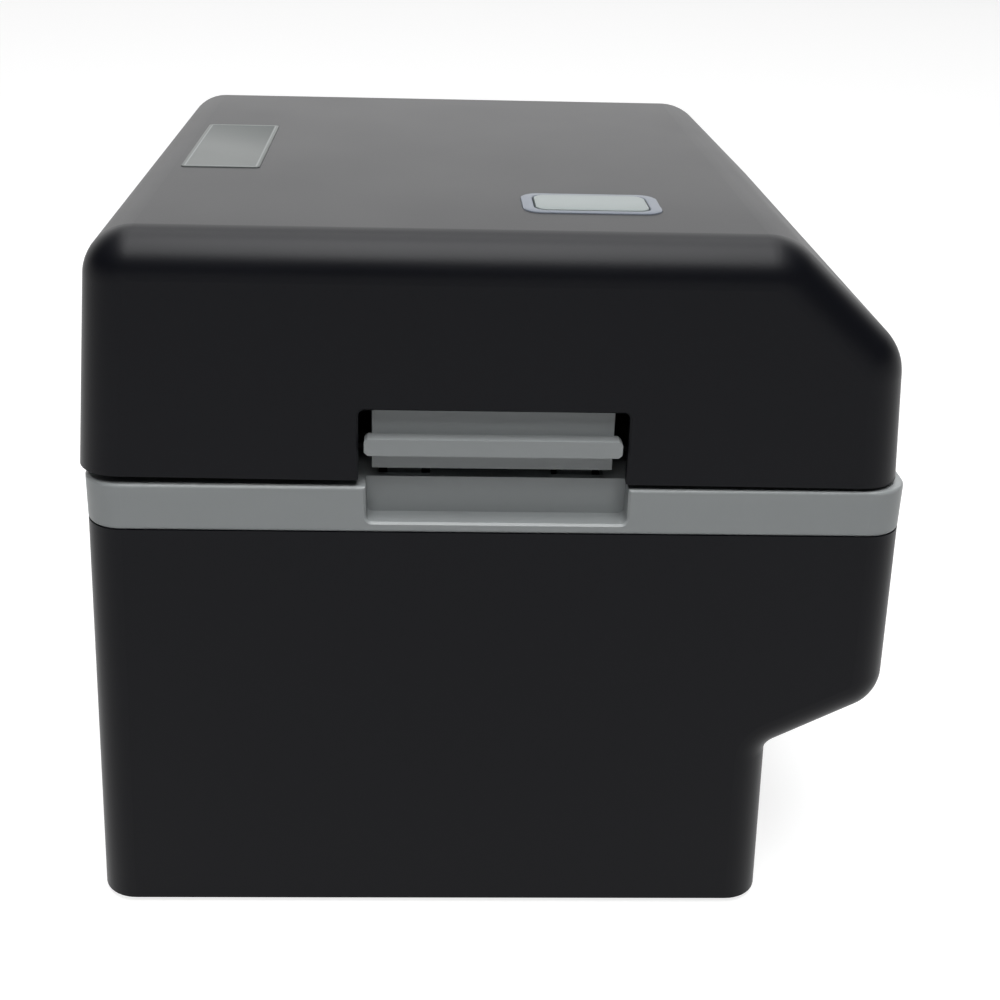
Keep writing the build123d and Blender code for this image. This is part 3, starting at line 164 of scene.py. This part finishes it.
# Base tub: the lower half of the case, injection-moulded in black ABS with a
# fine spark-eroded grain. Its lower front steps back under a chin.
def linear(value):
    """A colour channel from 0 to 255 as the shader takes it."""
    share = value / 255
    return share / 12.92 if share <= 0.04045 else ((share + 0.055) / 1.055) ** 2.4


def paint(red, green, blue):
    return (linear(red), linear(green), linear(blue), 1.0)


def finish_material(
    name, colour, other, roughness, spread, grain, depth, patch=22.0, metallic=0.0, specular=0.5
):
    """A surface whose colour drifts between two shades, with uneven gloss and a fine grain."""
    material = bpy.data.materials.new(name)
    material.use_nodes = True
    tree = material.node_tree
    shader = tree.nodes["Principled BSDF"]
    place = tree.nodes.new("ShaderNodeTexCoord")
    mapping = tree.nodes.new("ShaderNodeMapping")
    drift = tree.nodes.new("ShaderNodeTexNoise")
    drift.inputs["Scale"].default_value = patch
    drift.inputs["Detail"].default_value = 4.0
    tint = tree.nodes.new("ShaderNodeMix")
    tint.data_type = "RGBA"
    tint.inputs["A"].default_value = colour
    tint.inputs["B"].default_value = other
    gloss = tree.nodes.new("ShaderNodeMapRange")
    gloss.inputs["To Min"].default_value = roughness - spread
    gloss.inputs["To Max"].default_value = roughness + spread
    fine = tree.nodes.new("ShaderNodeTexNoise")
    fine.inputs["Scale"].default_value = 1.0 / grain
    fine.inputs["Detail"].default_value = 3.0
    relief = tree.nodes.new("ShaderNodeBump")
    relief.inputs["Strength"].default_value = 0.5
    relief.inputs["Distance"].default_value = depth
    tree.links.new(place.outputs["Object"], mapping.inputs["Vector"])
    tree.links.new(mapping.outputs["Vector"], drift.inputs["Vector"])
    tree.links.new(mapping.outputs["Vector"], fine.inputs["Vector"])
    tree.links.new(drift.outputs[0], tint.inputs["Factor"])
    tree.links.new(tint.outputs["Result"], shader.inputs["Base Color"])
    tree.links.new(drift.outputs[0], gloss.inputs["Value"])
    tree.links.new(gloss.outputs[0], shader.inputs["Roughness"])
    tree.links.new(fine.outputs[0], relief.inputs["Height"])
    tree.links.new(relief.outputs[0], shader.inputs["Normal"])
    shader.inputs["Metallic"].default_value = metallic
    shader.inputs["Specular IOR Level"].default_value = specular
    return material


def coat(node, material):
    """Gives one of the frame's own pieces its finish."""
    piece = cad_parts[node]
    piece.data.materials.clear()
    piece.data.materials.append(material)


black_grain = finish_material(
    "black_abs_grained", paint(9, 10, 15), paint(12, 13, 18), 0.37, 0.03, 0.00045, 0.00003, specular=0.13
)
coat("base_shell", black_grain)


# Rubber feet: four turned pads, each with a soft rim and a ring groove in its
# underside, glued into round recesses under the base.
def turned(bm, outline, place, axis=(0, 0, 1), steps=40):
    """Turns an outline of (radius, height) pairs into a closed round piece."""
    before = set(bm.verts)
    corners = [bm.verts.new((radius, 0, height)) for radius, height in outline]
    edges = [bm.edges.new(pair) for pair in zip(corners, corners[1:])]
    bmesh.ops.spin(
        bm, geom=corners + edges, cent=(0, 0, 0), axis=(0, 0, 1), angle=2 * pi, steps=steps, use_merge=True
    )
    bmesh.ops.remove_doubles(bm, verts=[v for v in bm.verts if v not in before], dist=0.000001)
    fresh = [v for v in bm.verts if v not in before]
    aim = Vector((0, 0, 1)).rotation_difference(Vector(axis)).to_matrix().to_4x4()
    bmesh.ops.transform(bm, matrix=Matrix.Translation(place) @ aim, verts=fresh)


def put(bm, name, material, body, replaced=()):
    """Closes a mesh, gives it its finish and sets it on the body that carries it."""
    bmesh.ops.recalc_face_normals(bm, faces=bm.faces)
    for face in bm.faces:
        face.smooth = True
    for edge in bm.edges:
        if len(edge.link_faces) == 2 and edge.calc_face_angle(0) > radians(35):
            edge.smooth = False
    piece = bpy.data.objects.new(name, bpy.data.meshes.new(name))
    bm.to_mesh(piece.data)
    bm.free()
    bpy.context.collection.objects.link(piece)
    piece.data.materials.append(material)
    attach(piece, body)
    if replaced:
        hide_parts(*replaced)
    return piece


foot_radius = 0.007
foot_height = 0.0025
low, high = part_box("rubber_feet")
foot_rows = (low.y + foot_radius, high.y - foot_radius)
foot_places = [(x, y) for x in (low.x + foot_radius, high.x - foot_radius) for y in foot_rows]
foot_outline = [
    (0.0, 0.0006),
    (0.0032, 0.0006),
    (0.0036, 0.0),
    (foot_radius - 0.0008, 0.0),
    (foot_radius - 0.0002, 0.0003),
    (foot_radius, 0.0009),
    (foot_radius, foot_height),
    (0.0, foot_height),
]
black_rubber = finish_material(
    "black_rubber", paint(26, 26, 26), paint(33, 33, 32), 0.78, 0.06, 0.0003, 0.00004, specular=0.3
)
bm = bmesh.new()
for x, y in foot_places:
    turned(bm, foot_outline, (x, y, 0))
put(bm, "feet", black_rubber, "base", ["rubber_feet"])

# Grey band with its deck: satin grey ABS, moulded in one piece with the
# finger pockets in its sides and the hinge ears on its rear edge.
grey_satin = finish_material(
    "grey_abs_satin", paint(146, 150, 151), paint(151, 155, 156), 0.42, 0.04, 0.0006, 0.00002, specular=0.4
)
coat("mid_frame", grey_satin)

# Hinge pins and lever pins: drawn steel rod, left bright.
bright_steel = finish_material(
    "bright_steel", paint(176, 178, 180), paint(190, 191, 193), 0.28, 0.06, 0.0002, 0.00001, metallic=1.0
)
for node in ("hinge_pins", "lever_pins"):
    coat(node, bright_steel)


# Screws: pan heads with a cross recess, zinc plated. Four hold the deck on the
# base's posts, and the others hold the plate, the boards, the motor and the
# bridge.
def cross_head_screw(bm, place, axis, head_radius, head_height, shank_radius, shank_length):
    """One screw, whose place is the middle of its head's underside."""
    before = set(bm.verts)
    outline = [
        (0.0, -shank_length),
        (shank_radius * 0.5, -shank_length),
        (shank_radius, -shank_length + shank_radius * 0.8),
        (shank_radius, 0.0),
        (head_radius * 0.96, 0.0),
        (head_radius, head_height * 0.12),
        (head_radius * 0.97, head_height * 0.45),
        (head_radius * 0.84, head_height * 0.8),
        (head_radius * 0.66, head_height),
    ]
    turned(bm, outline, (0, 0, 0), steps=24)
    made = [edge for edge in bm.edges if edge.is_boundary and edge.verts[0] not in before]
    rim = [edge for edge in made if abs(edge.verts[0].co.z - head_height) < 1e-6]
    arm = head_radius * 0.52
    slot_half = head_radius * 0.13
    cross = bmesh.ops.create_circle(bm, cap_ends=False, radius=arm, segments=12)["verts"]
    for index, corner in enumerate(cross):
        quarter, part = divmod(index, 3)
        x, y = ((arm, -slot_half), (arm, slot_half), (slot_half, slot_half))[part]
        turn = quarter * pi / 2
        corner.co = (x * cos(turn) - y * sin(turn), x * sin(turn) + y * cos(turn), head_height)
    lip = [edge for edge in bm.edges if edge.verts[0] in cross and edge.verts[1] in cross]
    bmesh.ops.bridge_loops(bm, edges=rim + lip)
    sunk = bmesh.ops.extrude_edge_only(bm, edges=lip)["geom"]
    low = [item for item in sunk if isinstance(item, bmesh.types.BMVert)]
    bmesh.ops.scale(bm, vec=(0.55, 0.55, 1), verts=low)
    bmesh.ops.translate(bm, vec=(0, 0, -head_height * 0.6), verts=low)
    bmesh.ops.edgeloop_fill(bm, edges=[item for item in sunk if isinstance(item, bmesh.types.BMEdge)])
    fresh = [v for v in bm.verts if v not in before]
    aim = Vector((0, 0, 1)).rotation_difference(Vector(axis)).to_matrix().to_4x4()
    bmesh.ops.transform(bm, matrix=Matrix.Translation(place) @ aim, verts=fresh)


zinc = finish_material(
    "zinc_plate", paint(168, 170, 174), paint(184, 184, 182), 0.34, 0.06, 0.00025, 0.00001, metallic=1.0
)
screw_radius = 0.00145
head_radius = 0.0028
head_height = 0.0016
deck_top = 0.1162

low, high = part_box("case_screws")
bm = bmesh.new()
for x in (low.x + head_radius, high.x - head_radius):
    for y in (low.y + head_radius, high.y - head_radius):
        place = (x, y, deck_top)
        cross_head_screw(bm, place, (0, 0, 1), head_radius, head_height, screw_radius, deck_top - low.z)
put(bm, "deck_screws", zinc, "base", ["case_screws"])

low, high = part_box("plate_screws")
bm = bmesh.new()
for y in (low.y + head_radius, high.y - head_radius):
    place = ((low.x + high.x) / 2, y, deck_top)
    cross_head_screw(bm, place, (0, 0, 1), head_radius, head_height, screw_radius, deck_top - low.z)
put(bm, "gear_plate_screws", zinc, "base", ["plate_screws"])

low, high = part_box("board_screws")
bm = bmesh.new()
for x in (low.x + head_radius, high.x - head_radius):
    for y in (low.y + head_radius, high.y - head_radius):
        place = (x, y, high.z - head_height)
        cross_head_screw(bm, place, (0, 0, 1), head_radius, head_height, screw_radius, place[2] - low.z)
put(bm, "main_board_screws", zinc, "base", ["board_screws"])

low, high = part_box("bridge_screws")
bm = bmesh.new()
for x in (low.x + head_radius, high.x - head_radius):
    for y in (low.y + head_radius, high.y - head_radius):
        place = (x, y, low.z + head_height)
        cross_head_screw(bm, place, (0, 0, -1), head_radius, head_height, screw_radius, high.z - place[2])
put(bm, "bridge_fixing_screws", zinc, "lid", ["bridge_screws"])

low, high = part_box("button_screws")
bm = bmesh.new()
for y in (low.y + head_radius, high.y - head_radius):
    place = ((low.x + high.x) / 2, y, low.z + head_height)
    cross_head_screw(bm, place, (0, 0, -1), head_radius, head_height, screw_radius, high.z - place[2])
put(bm, "button_board_screws", zinc, "lid", ["button_screws"])

motor_head_height = 0.0011
low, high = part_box("motor_screws")
bm = bmesh.new()
for y in (low.y + head_radius, high.y - head_radius):
    for z in (low.z + head_radius, high.z - head_radius):
        place = (low.x + motor_head_height, y, z)
        shank = high.x - place[0]
        cross_head_screw(bm, place, (-1, 0, 0), head_radius, motor_head_height, screw_radius, shank)
put(bm, "motor_fixing_screws", zinc, "base", ["motor_screws"])

# Roll tray and guides: the tray is a black trough under the deck, and the two
# grey guides slide in its floor on racks that a white pinion keeps together.
dark_tray = finish_material(
    "dark_abs", paint(34, 35, 37), paint(40, 41, 43), 0.5, 0.05, 0.0006, 0.00003, specular=0.35
)
coat("roll_tray", dark_tray)
coat("guide_rails", dark_tray)
for node in ("guide_left", "guide_right"):
    coat(node, grey_satin)

# Gears: white acetal, moulded, and slippery to the touch.
acetal = finish_material(
    "white_acetal", paint(222, 221, 214), paint(230, 229, 223), 0.38, 0.05, 0.0005, 0.00001, specular=0.45
)
for node in ("guide_pinion", "platen_gear", "idler_gear"):
    coat(node, acetal)

# Platen: a ground silicone-rubber sleeve on a steel shaft, which turns in two
# plastic bushes and pulls the label past the print head.
platen_rubber = finish_material(
    "platen_rubber", paint(44, 44, 46), paint(52, 52, 54), 0.6, 0.05, 0.0002, 0.00002, specular=0.35
)
coat("platen_rubber", platen_rubber)
coat("platen_shaft", bright_steel)
coat("platen_bushes", acetal)

# Drive: the motor's brass pinion turns the idler on the folded steel plate.
brass = finish_material(
    "brass", paint(196, 160, 92), paint(208, 172, 104), 0.3, 0.06, 0.0003, 0.00001, metallic=1.0
)
sheet_steel = finish_material(
    "sheet_steel", paint(150, 152, 154), paint(166, 167, 168), 0.4, 0.08, 0.0004, 0.00002, metallic=1.0
)
coat("gear_plate", sheet_steel)
coat("motor_pinion", brass)
coat("motor_shaft", bright_steel)


# Stepper motor: two die-cast end caps hold a stack of stamped steel sheets
# between them, and the front cap's ring sits in the gear plate.
def block(bm, low, high, edge=0.0002, corner=0.0, upright="z"):
    """A box between two corners, with its upright edges cut off and the rest softened."""
    size = Vector(high) - Vector(low)
    middle = (Vector(high) + Vector(low)) / 2
    shape = Matrix.Translation(middle) @ Matrix.Diagonal((size.x, size.y, size.z, 1))
    verts = bmesh.ops.create_cube(bm, size=1.0, matrix=shape)["verts"]
    if corner:
        axis = "xyz".index(upright)
        edges = {e for v in verts for e in v.link_edges}
        edges = {e for e in edges if abs(e.verts[0].co[axis] - e.verts[1].co[axis]) > 1e-6}
        cut = bmesh.ops.bevel(
            bm, geom=list(edges), affect="EDGES", offset=corner, segments=1, profile=0.5, material=-1
        )
        verts = {v for face in cut["faces"] for v in face.verts}
    edges = {e for v in verts for e in v.link_edges}
    bmesh.ops.bevel(bm, geom=list(edges), affect="EDGES", offset=edge, segments=2, profile=0.5, material=-1)


cast_alloy = finish_material(
    "cast_alloy", paint(138, 140, 142), paint(156, 157, 158), 0.48, 0.08, 0.0005, 0.00004, metallic=1.0
)
low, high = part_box("stepper_motor")
gear_plate_thickness = 0.0015
motor_face = low.x + gear_plate_thickness
cap_depth = 0.006
cap_inset = 0.0003
motor_corner = 0.004
bm = bmesh.new()
block(
    bm,
    (motor_face, low.y + cap_inset, low.z + cap_inset),
    (motor_face + cap_depth, high.y - cap_inset, high.z - cap_inset),
    0.0004,
    motor_corner,
    "x",
)
block(
    bm,
    (high.x - cap_depth, low.y + cap_inset, low.z + cap_inset),
    (high.x - 0.0004, high.y - cap_inset, high.z - cap_inset),
    0.0004,
    motor_corner,
    "x",
)
ring_inner = 0.0026
ring_outer = 0.011
ring_depth = 0.0017
ring_edge = 0.0004
ring = [
    (ring_inner, 0.0),
    (ring_outer - ring_edge, 0.0),
    (ring_outer, ring_edge),
    (ring_outer, ring_depth),
    (ring_inner, ring_depth),
    (ring_inner, 0.0),
]
motor_middle = (low.x, (low.y + high.y) / 2, (low.z + high.z) / 2)
turned(bm, ring, motor_middle, (1, 0, 0), 48)
bearing_cap = [(0.0, -0.0006), (0.0048, -0.0006), (0.0048, -0.0002), (0.0044, 0.0), (0.0, 0.0)]
turned(bm, bearing_cap, (high.x, motor_middle[1], motor_middle[2]), (1, 0, 0), 32)
put(bm, "motor_end_caps", cast_alloy, "base", ["stepper_motor"])
stack_steel = finish_material(
    "stamped_sheets", paint(70, 71, 74), paint(96, 96, 98), 0.5, 0.1, 0.0006, 0.00008, metallic=1.0
)
bm = bmesh.new()
sheet_count = 10
sheet_pitch = (high.x - motor_face - 2 * cap_depth) / sheet_count
for sheet in range(sheet_count):
    start = motor_face + cap_depth + sheet * sheet_pitch
    block(bm, (start, low.y, low.z), (start + sheet_pitch, high.y, high.z), 0.00012, motor_corner, "x")
put(bm, "motor_sheet_stack", stack_steel, "base", ["stepper_motor"])

# Tear bar: a serrated strip of stainless steel behind the label mouth.
coat("tear_bar", bright_steel)

# Sensors on the deck: dark housings that see the label and the closed lid.
dark_plastic = finish_material(
    "dark_component", paint(30, 31, 33), paint(36, 37, 39), 0.35, 0.05, 0.0004, 0.00001, specular=0.45
)
coat("cover_switch", dark_plastic)
low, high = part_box("label_sensor")
bm = bmesh.new()
block(bm, low, (high.x, high.y, high.z - 0.00015), 0.00015)
put(bm, "label_sensor_housing", dark_plastic, "base", ["label_sensor"])
lens_red = finish_material(
    "sensor_lens", paint(58, 12, 16), paint(70, 16, 20), 0.12, 0.03, 0.0004, 0.00001
)
lens_radius = 0.0015
lens = [
    (0.0, 0.0002),
    (0.0008, 0.00017),
    (0.0013, 0.0001),
    (lens_radius, 0.0),
    (lens_radius, -0.0002),
    (0.0, -0.0002),
]
lens_offset = 0.0025
bm = bmesh.new()
for x in (-lens_offset, lens_offset):
    turned(bm, lens, (x, (low.y + high.y) / 2, high.z - 0.0002), (0, 0, 1), 24)
put(bm, "label_sensor_lenses", lens_red, "base", ["label_sensor"])

# Main board: green glass-epoxy laminate with its chips and cans.
board_green = finish_material(
    "board_green", paint(24, 84, 48), paint(36, 104, 62), 0.38, 0.06, 0.0009, 0.00004, patch=160.0
)
coat("main_board", board_green)
coat("button_board", board_green)
low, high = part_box("main_board")
board_top = high.z
board_back = high.y


def chip(bodies, leads, x, y, width, depth, height, count):
    """A moulded chip with a row of bent leads on two of its sides."""
    block(
        bodies,
        (x - width / 2 + 0.0012, y - depth / 2, board_top + 0.0003),
        (x + width / 2 - 0.0012, y + depth / 2, board_top + height),
        0.0002,
    )
    pitch = (depth - 0.001) / count
    for end in (-1, 1):
        for lead in range(count):
            near = y - depth / 2 + 0.0005 + (lead + 0.3) * pitch
            outer = x + end * width / 2
            inner = x + end * (width / 2 - 0.0013)
            bend = x + end * (width / 2 - 0.0007)
            block(
                leads,
                (min(outer, bend), near, board_top),
                (max(outer, bend), near + pitch * 0.4, board_top + 0.0002),
                0.00004,
            )
            block(
                leads,
                (min(inner, bend), near, board_top),
                (max(inner, bend), near + pitch * 0.4, board_top + height * 0.6),
                0.00004,
            )


tin = finish_material(
    "tinned_leads", paint(178, 180, 182), paint(192, 192, 192), 0.3, 0.06, 0.0003, 0.00001, metallic=1.0
)
bodies = bmesh.new()
leads = bmesh.new()
chip(bodies, leads, -0.022, board_back - 0.038, 0.016, 0.016, 0.0016, 14)
chip(bodies, leads, 0.001, board_back - 0.045, 0.010, 0.014, 0.0014, 8)
choke_middle = (0.032, board_back - 0.048)
choke_half = 0.006
block(
    bodies,
    (choke_middle[0] - choke_half, choke_middle[1] - choke_half, board_top),
    (choke_middle[0] + choke_half, choke_middle[1] + choke_half, board_top + 0.0012),
    0.0003,
    0.0012,
)
drum = [(0.0, 0.001), (0.0052, 0.001), (0.0052, 0.0016), (0.0048, 0.0018), (0.0, 0.0018)]
turned(bodies, drum, (*choke_middle, board_top), (0, 0, 1), 32)
put(bodies, "board_components", dark_plastic, "base", ["board_chips"])
put(leads, "board_leads", tin, "base", ["board_chips"])

# Electrolytic capacitors: aluminium cans in dark blue sleeves without print,
# which leave the pressed top of each can bare.
sleeve_blue = finish_material(
    "capacitor_sleeve", paint(24, 30, 48), paint(30, 37, 56), 0.3, 0.05, 0.0006, 0.00001
)
can_metal = finish_material(
    "can_top", paint(188, 190, 192), paint(202, 203, 204), 0.34, 0.05, 0.0003, 0.00002, metallic=1.0
)
can_radius = 0.004
can_height = 0.009
sleeve = [
    (0.0, 0.0),
    (can_radius - 0.0003, 0.0),
    (can_radius, 0.0005),
    (can_radius, 0.0011),
    (can_radius - 0.0002, 0.0014),
    (can_radius, 0.0017),
    (can_radius, can_height - 0.0006),
    (can_radius - 0.0004, can_height - 0.0001),
    (can_radius - 0.0009, can_height - 0.0001),
    (can_radius - 0.0009, can_height - 0.0004),
]
can_top = [
    (can_radius - 0.0008, can_height - 0.0006),
    (can_radius - 0.0009, can_height - 0.0003),
    (can_radius - 0.0013, can_height - 0.00025),
    (0.0, can_height - 0.00025),
]
sleeves = bmesh.new()
cans = bmesh.new()
capacitor_y = board_back - 0.026
last_capacitor_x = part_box("board_chips")[1].x - can_radius
capacitor_pitch = 0.01
for place in (0, 2, 3):
    middle = (last_capacitor_x - place * capacitor_pitch, capacitor_y, board_top)
    turned(sleeves, sleeve, middle, (0, 0, 1), 32)
    turned(cans, can_top, middle, (0, 0, 1), 32)
put(sleeves, "capacitor_sleeves", sleeve_blue, "base", ["board_chips"])
put(cans, "capacitor_tops", can_metal, "base", ["board_chips"])
coat("push_switch", dark_plastic)

# Rear sockets and the power switch, all in the back wall.
coat("usb_port", sheet_steel)
coat("dc_jack", dark_plastic)
coat("switch_housing", dark_plastic)
coat("power_rocker", dark_plastic)

# Lid: the clamshell's black shell, with the same fine grain as the base.
coat("lid_shell", black_grain)

# Ribs under the lid's roof: low thin walls moulded with the shell, which
# stiffen the wide flat top between the bridge and the hinge.
rib_width = 0.0012
rib_height = 0.0028
lid_wall = 0.0025
low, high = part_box("lid_shell")
rib_root = 0.0001
roof = high.z - lid_wall + rib_root
rib_front = max(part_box("lid_bridge")[1].y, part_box("button_board")[1].y) + 0.006
rib_back = high.y - 0.024
rib_reach = 0.066
bm = bmesh.new()
rib_pitch = 0.044
for x in (-rib_pitch, 0.0, rib_pitch):
    block(
        bm,
        (x - rib_width / 2, rib_front, roof - rib_height),
        (x + rib_width / 2, rib_back, roof),
        0.0002,
    )
for share in (0.15, 0.5, 0.85):
    y = rib_front + (rib_back - rib_front) * share
    block(
        bm,
        (-rib_reach, y - rib_width / 2, roof - rib_height),
        (rib_reach, y + rib_width / 2, roof - rib_root / 2),
        0.0002,
    )
put(bm, "lid_ribs", black_grain, "lid")

# Plate at the rear of the lid: a thin silver-grey film in a shallow recess. The paler line along its edge
# is a painted highlight, the light that the film's edge catches. Its face is bare.
plate_silver = finish_material(
    "plate_silver", paint(84, 88, 87), paint(90, 94, 93), 0.4, 0.05, 0.0006, 0.00001, specular=0.14
)
# A paler grey for the strip along the film's edge: a painted highlight.
plate_edge_highlight = finish_material(
    "plate_edge_highlight", paint(112, 116, 116), paint(118, 122, 122), 0.38, 0.05, 0.0006, 0.00001, specular=0.14
)
low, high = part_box("name_plate")
bm = bmesh.new()
block(bm, low, high, 0.0001, 0.0008)
bm.faces.ensure_lookup_table()
face = max(bm.faces, key=lambda f: (round(f.calc_center_median().z, 6), f.calc_area()))
bmesh.ops.inset_region(bm, faces=[face], thickness=0.0006, use_even_offset=True)
highlight_strips = bmesh.ops.inset_region(bm, faces=[face], thickness=0.0004, use_even_offset=True)["faces"]
bmesh.ops.inset_region(bm, faces=[face], thickness=0.0001, depth=-0.00006, use_even_offset=True)
# The edge strips take the painted highlight.
for strip in highlight_strips:
    strip.material_index = 1
piece = put(bm, "plate_film", plate_silver, "lid", ["name_plate"])
piece.data.materials.append(plate_edge_highlight)

# Feed button in its frame: milky plastic that lets a lamp show through.
milky = finish_material(
    "milky_button", paint(130, 137, 137), paint(134, 141, 141), 0.4, 0.03, 0.0006, 0.00001, specular=0.14
)
milky_blue = finish_material(
    "milky_frame", paint(106, 112, 122), paint(111, 117, 127), 0.36, 0.03, 0.0006, 0.00001, specular=0.14
)


def sleeve_of_loops(bm, middle, loops, closed):
    """Joins round-cornered outlines of (width, length, corner radius, height) into one skin."""
    rings = []
    for width, length, radius, height in loops:
        verts = bmesh.ops.create_circle(bm, cap_ends=False, radius=radius, segments=40)["verts"]
        bmesh.ops.rotate(bm, cent=(0, 0, 0), matrix=Matrix.Rotation(pi / 40, 3, "Z"), verts=verts)
        for v in verts:
            v.co.x += (width / 2 - radius) * (1 if v.co.x > 0 else -1) + middle[0]
            v.co.y += (length / 2 - radius) * (1 if v.co.y > 0 else -1) + middle[1]
            v.co.z = height
        rings.append(list({e for v in verts for e in v.link_edges}))
    pairs = list(zip(rings, rings[1:]))
    if closed:
        pairs.append((rings[-1], rings[0]))
    for one, other in pairs:
        bmesh.ops.bridge_loops(bm, edges=one + other)
    if not closed:
        for end in (rings[0], rings[-1]):
            bmesh.ops.edgeloop_fill(bm, edges=end)


low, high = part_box("button_frame")
middle = ((low.x + high.x) / 2, (low.y + high.y) / 2)
width = high.x - low.x
length = high.y - low.y
frame_corner = 0.0045
neck = 0.0021
ledge = high.z - 0.0011
hole_width = 0.0148
hole_length = 0.0269
hole_corner = 0.0033
frame_loops = [
    (width - neck, length - neck, frame_corner - neck / 2, low.z),
    (width - neck, length - neck, frame_corner - neck / 2, ledge),
    (width, length, frame_corner, ledge),
    (width, length, frame_corner, high.z - 0.0003),
    (width - 0.0002, length - 0.0002, frame_corner - 0.0001, high.z - 0.0001),
    (width - 0.0006, length - 0.0006, frame_corner - 0.0003, high.z),
    (hole_width + 0.0004, hole_length + 0.0004, hole_corner + 0.0002, high.z),
    (hole_width, hole_length, hole_corner, high.z - 0.0002),
    (hole_width, hole_length, hole_corner, low.z),
]
bm = bmesh.new()
sleeve_of_loops(bm, middle, frame_loops, closed=True)
put(bm, "button_surround", milky_blue, "lid", ["button_frame"])
low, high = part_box("feed_button")
button_width = 0.0142
button_length = 0.0263
button_corner = 0.003
flange = 0.0024
flange_height = 0.0012
flange_gap = 0.0003
flange_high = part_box("button_frame")[0].z - flange_gap
flange_low = flange_high - flange_height
button_loops = [
    (button_width + flange, button_length + flange, button_corner, flange_low),
    (button_width + flange, button_length + flange, button_corner, flange_high),
    (button_width, button_length, button_corner, flange_high),
    (button_width, button_length, button_corner, high.z - 0.0004),
    (button_width - 0.00024, button_length - 0.00024, button_corner - 0.00012, high.z - 0.00012),
    (button_width - 0.0008, button_length - 0.0008, button_corner - 0.0004, high.z),
]
bm = bmesh.new()
sleeve_of_loops(bm, middle, button_loops, closed=False)
stem_radius = 0.0016
stem_edge = 0.0002
stem = [
    (0.0, low.z),
    (stem_radius - stem_edge, low.z),
    (stem_radius, low.z + stem_edge),
    (stem_radius, flange_low + stem_edge),
]
turned(bm, stem, (*middle, 0), steps=24)
put(bm, "feed_button_cap", milky, "button", ["feed_button"])

# Release levers: satin grey ABS, each with a finger bar across its face.
for node in ("release_lever_left", "release_lever_right"):
    coat(node, grey_satin)


# Springs: music wire wound into coils. A torsion spring on each lever's pin
# turns the lever home, and two compression springs press the head down.
def coil(bm, middle, start, length, mean_radius, wire_radius, turns, axis):
    """Winds a wire into a coil round an axis through a point."""
    steps = round(turns * 28)
    circle = bmesh.ops.create_circle(bm, cap_ends=True, radius=wire_radius, segments=10)["verts"]
    lean = Matrix.Translation((mean_radius, 0, start)) @ Matrix.Rotation(pi / 2, 4, "X")
    bmesh.ops.transform(bm, matrix=lean, verts=circle)
    edges = {e for v in circle for e in v.link_edges}
    faces = {f for v in circle for f in v.link_faces}
    before = set(bm.verts) - set(circle)
    bmesh.ops.spin(
        bm,
        geom=circle + list(edges) + list(faces),
        cent=(0, 0, 0),
        axis=(0, 0, 1),
        dvec=(0, 0, length / steps),
        angle=2 * pi * turns,
        steps=steps,
        use_merge=False,
    )
    fresh = [v for v in bm.verts if v not in before]
    aim = Vector((0, 0, 1)).rotation_difference(Vector(axis)).to_matrix().to_4x4()
    bmesh.ops.transform(bm, matrix=Matrix.Translation(middle) @ aim, verts=fresh)


spring_wire = finish_material(
    "spring_wire", paint(158, 160, 164), paint(178, 179, 182), 0.3, 0.06, 0.0002, 0.00001, metallic=1.0
)
low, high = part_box("lever_springs")
torsion_wire = 0.0004
torsion_radius = 0.0027
bm = bmesh.new()
for x in (low.x + torsion_radius, high.x - torsion_radius):
    coil(
        bm,
        (x, low.y, (low.z + high.z) / 2),
        torsion_wire,
        high.y - low.y - 2 * torsion_wire,
        torsion_radius - torsion_wire,
        torsion_wire,
        2.5,
        (0, 1, 0),
    )
put(bm, "lever_spring_coils", spring_wire, "lid", ["lever_springs"])
low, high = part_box("head_springs")
head_spring_radius = 0.0045
head_wire = 0.00055
bm = bmesh.new()
for x in (low.x + head_spring_radius, high.x - head_spring_radius):
    coil(
        bm,
        (x, (low.y + high.y) / 2, low.z),
        head_wire,
        high.z - low.z - 2 * head_wire,
        head_spring_radius - head_wire,
        head_wire,
        6.5,
        (0, 0, 1),
    )
piece = put(bm, "head_spring_coils", spring_wire, "lid", ["head_springs"])
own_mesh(piece)

# Print head: a ceramic strip with a dark glazed line of heaters, glued under a
# ribbed aluminium heat sink and pressed down under the lid's bridge.
ceramic = finish_material(
    "ceramic", paint(214, 208, 190), paint(222, 217, 201), 0.25, 0.05, 0.0005, 0.00001
)
aluminium = finish_material(
    "aluminium", paint(196, 198, 200), paint(208, 210, 212), 0.35, 0.06, 0.0004, 0.00001, metallic=1.0
)
low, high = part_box("print_head")
glaze_rise = 0.00015
bm = bmesh.new()
block(bm, (low.x, low.y, low.z + glaze_rise), high, 0.0001)
put(bm, "print_head_strip", ceramic, "head", ["print_head"])
glaze = finish_material("dark_glaze", paint(52, 40, 34), paint(62, 48, 40), 0.12, 0.03, 0.0004, 0.00001)
line_y = (low.y + high.y) / 2
bm = bmesh.new()
block(
    bm,
    (low.x + 0.001, line_y - 0.0006, low.z),
    (high.x - 0.001, line_y + 0.0006, low.z + glaze_rise + 0.0001),
    0.0001,
)
block(
    bm,
    (low.x + 0.004, high.y - 0.0042, low.z + 0.00003),
    (high.x - 0.004, high.y - 0.0012, low.z + glaze_rise + 0.0001),
    0.00008,
)
put(bm, "print_head_glaze", glaze, "head", ["print_head"])
coat("heat_sink", aluminium)
coat("head_carrier", dark_tray)
coat("lid_bridge", sheet_steel)
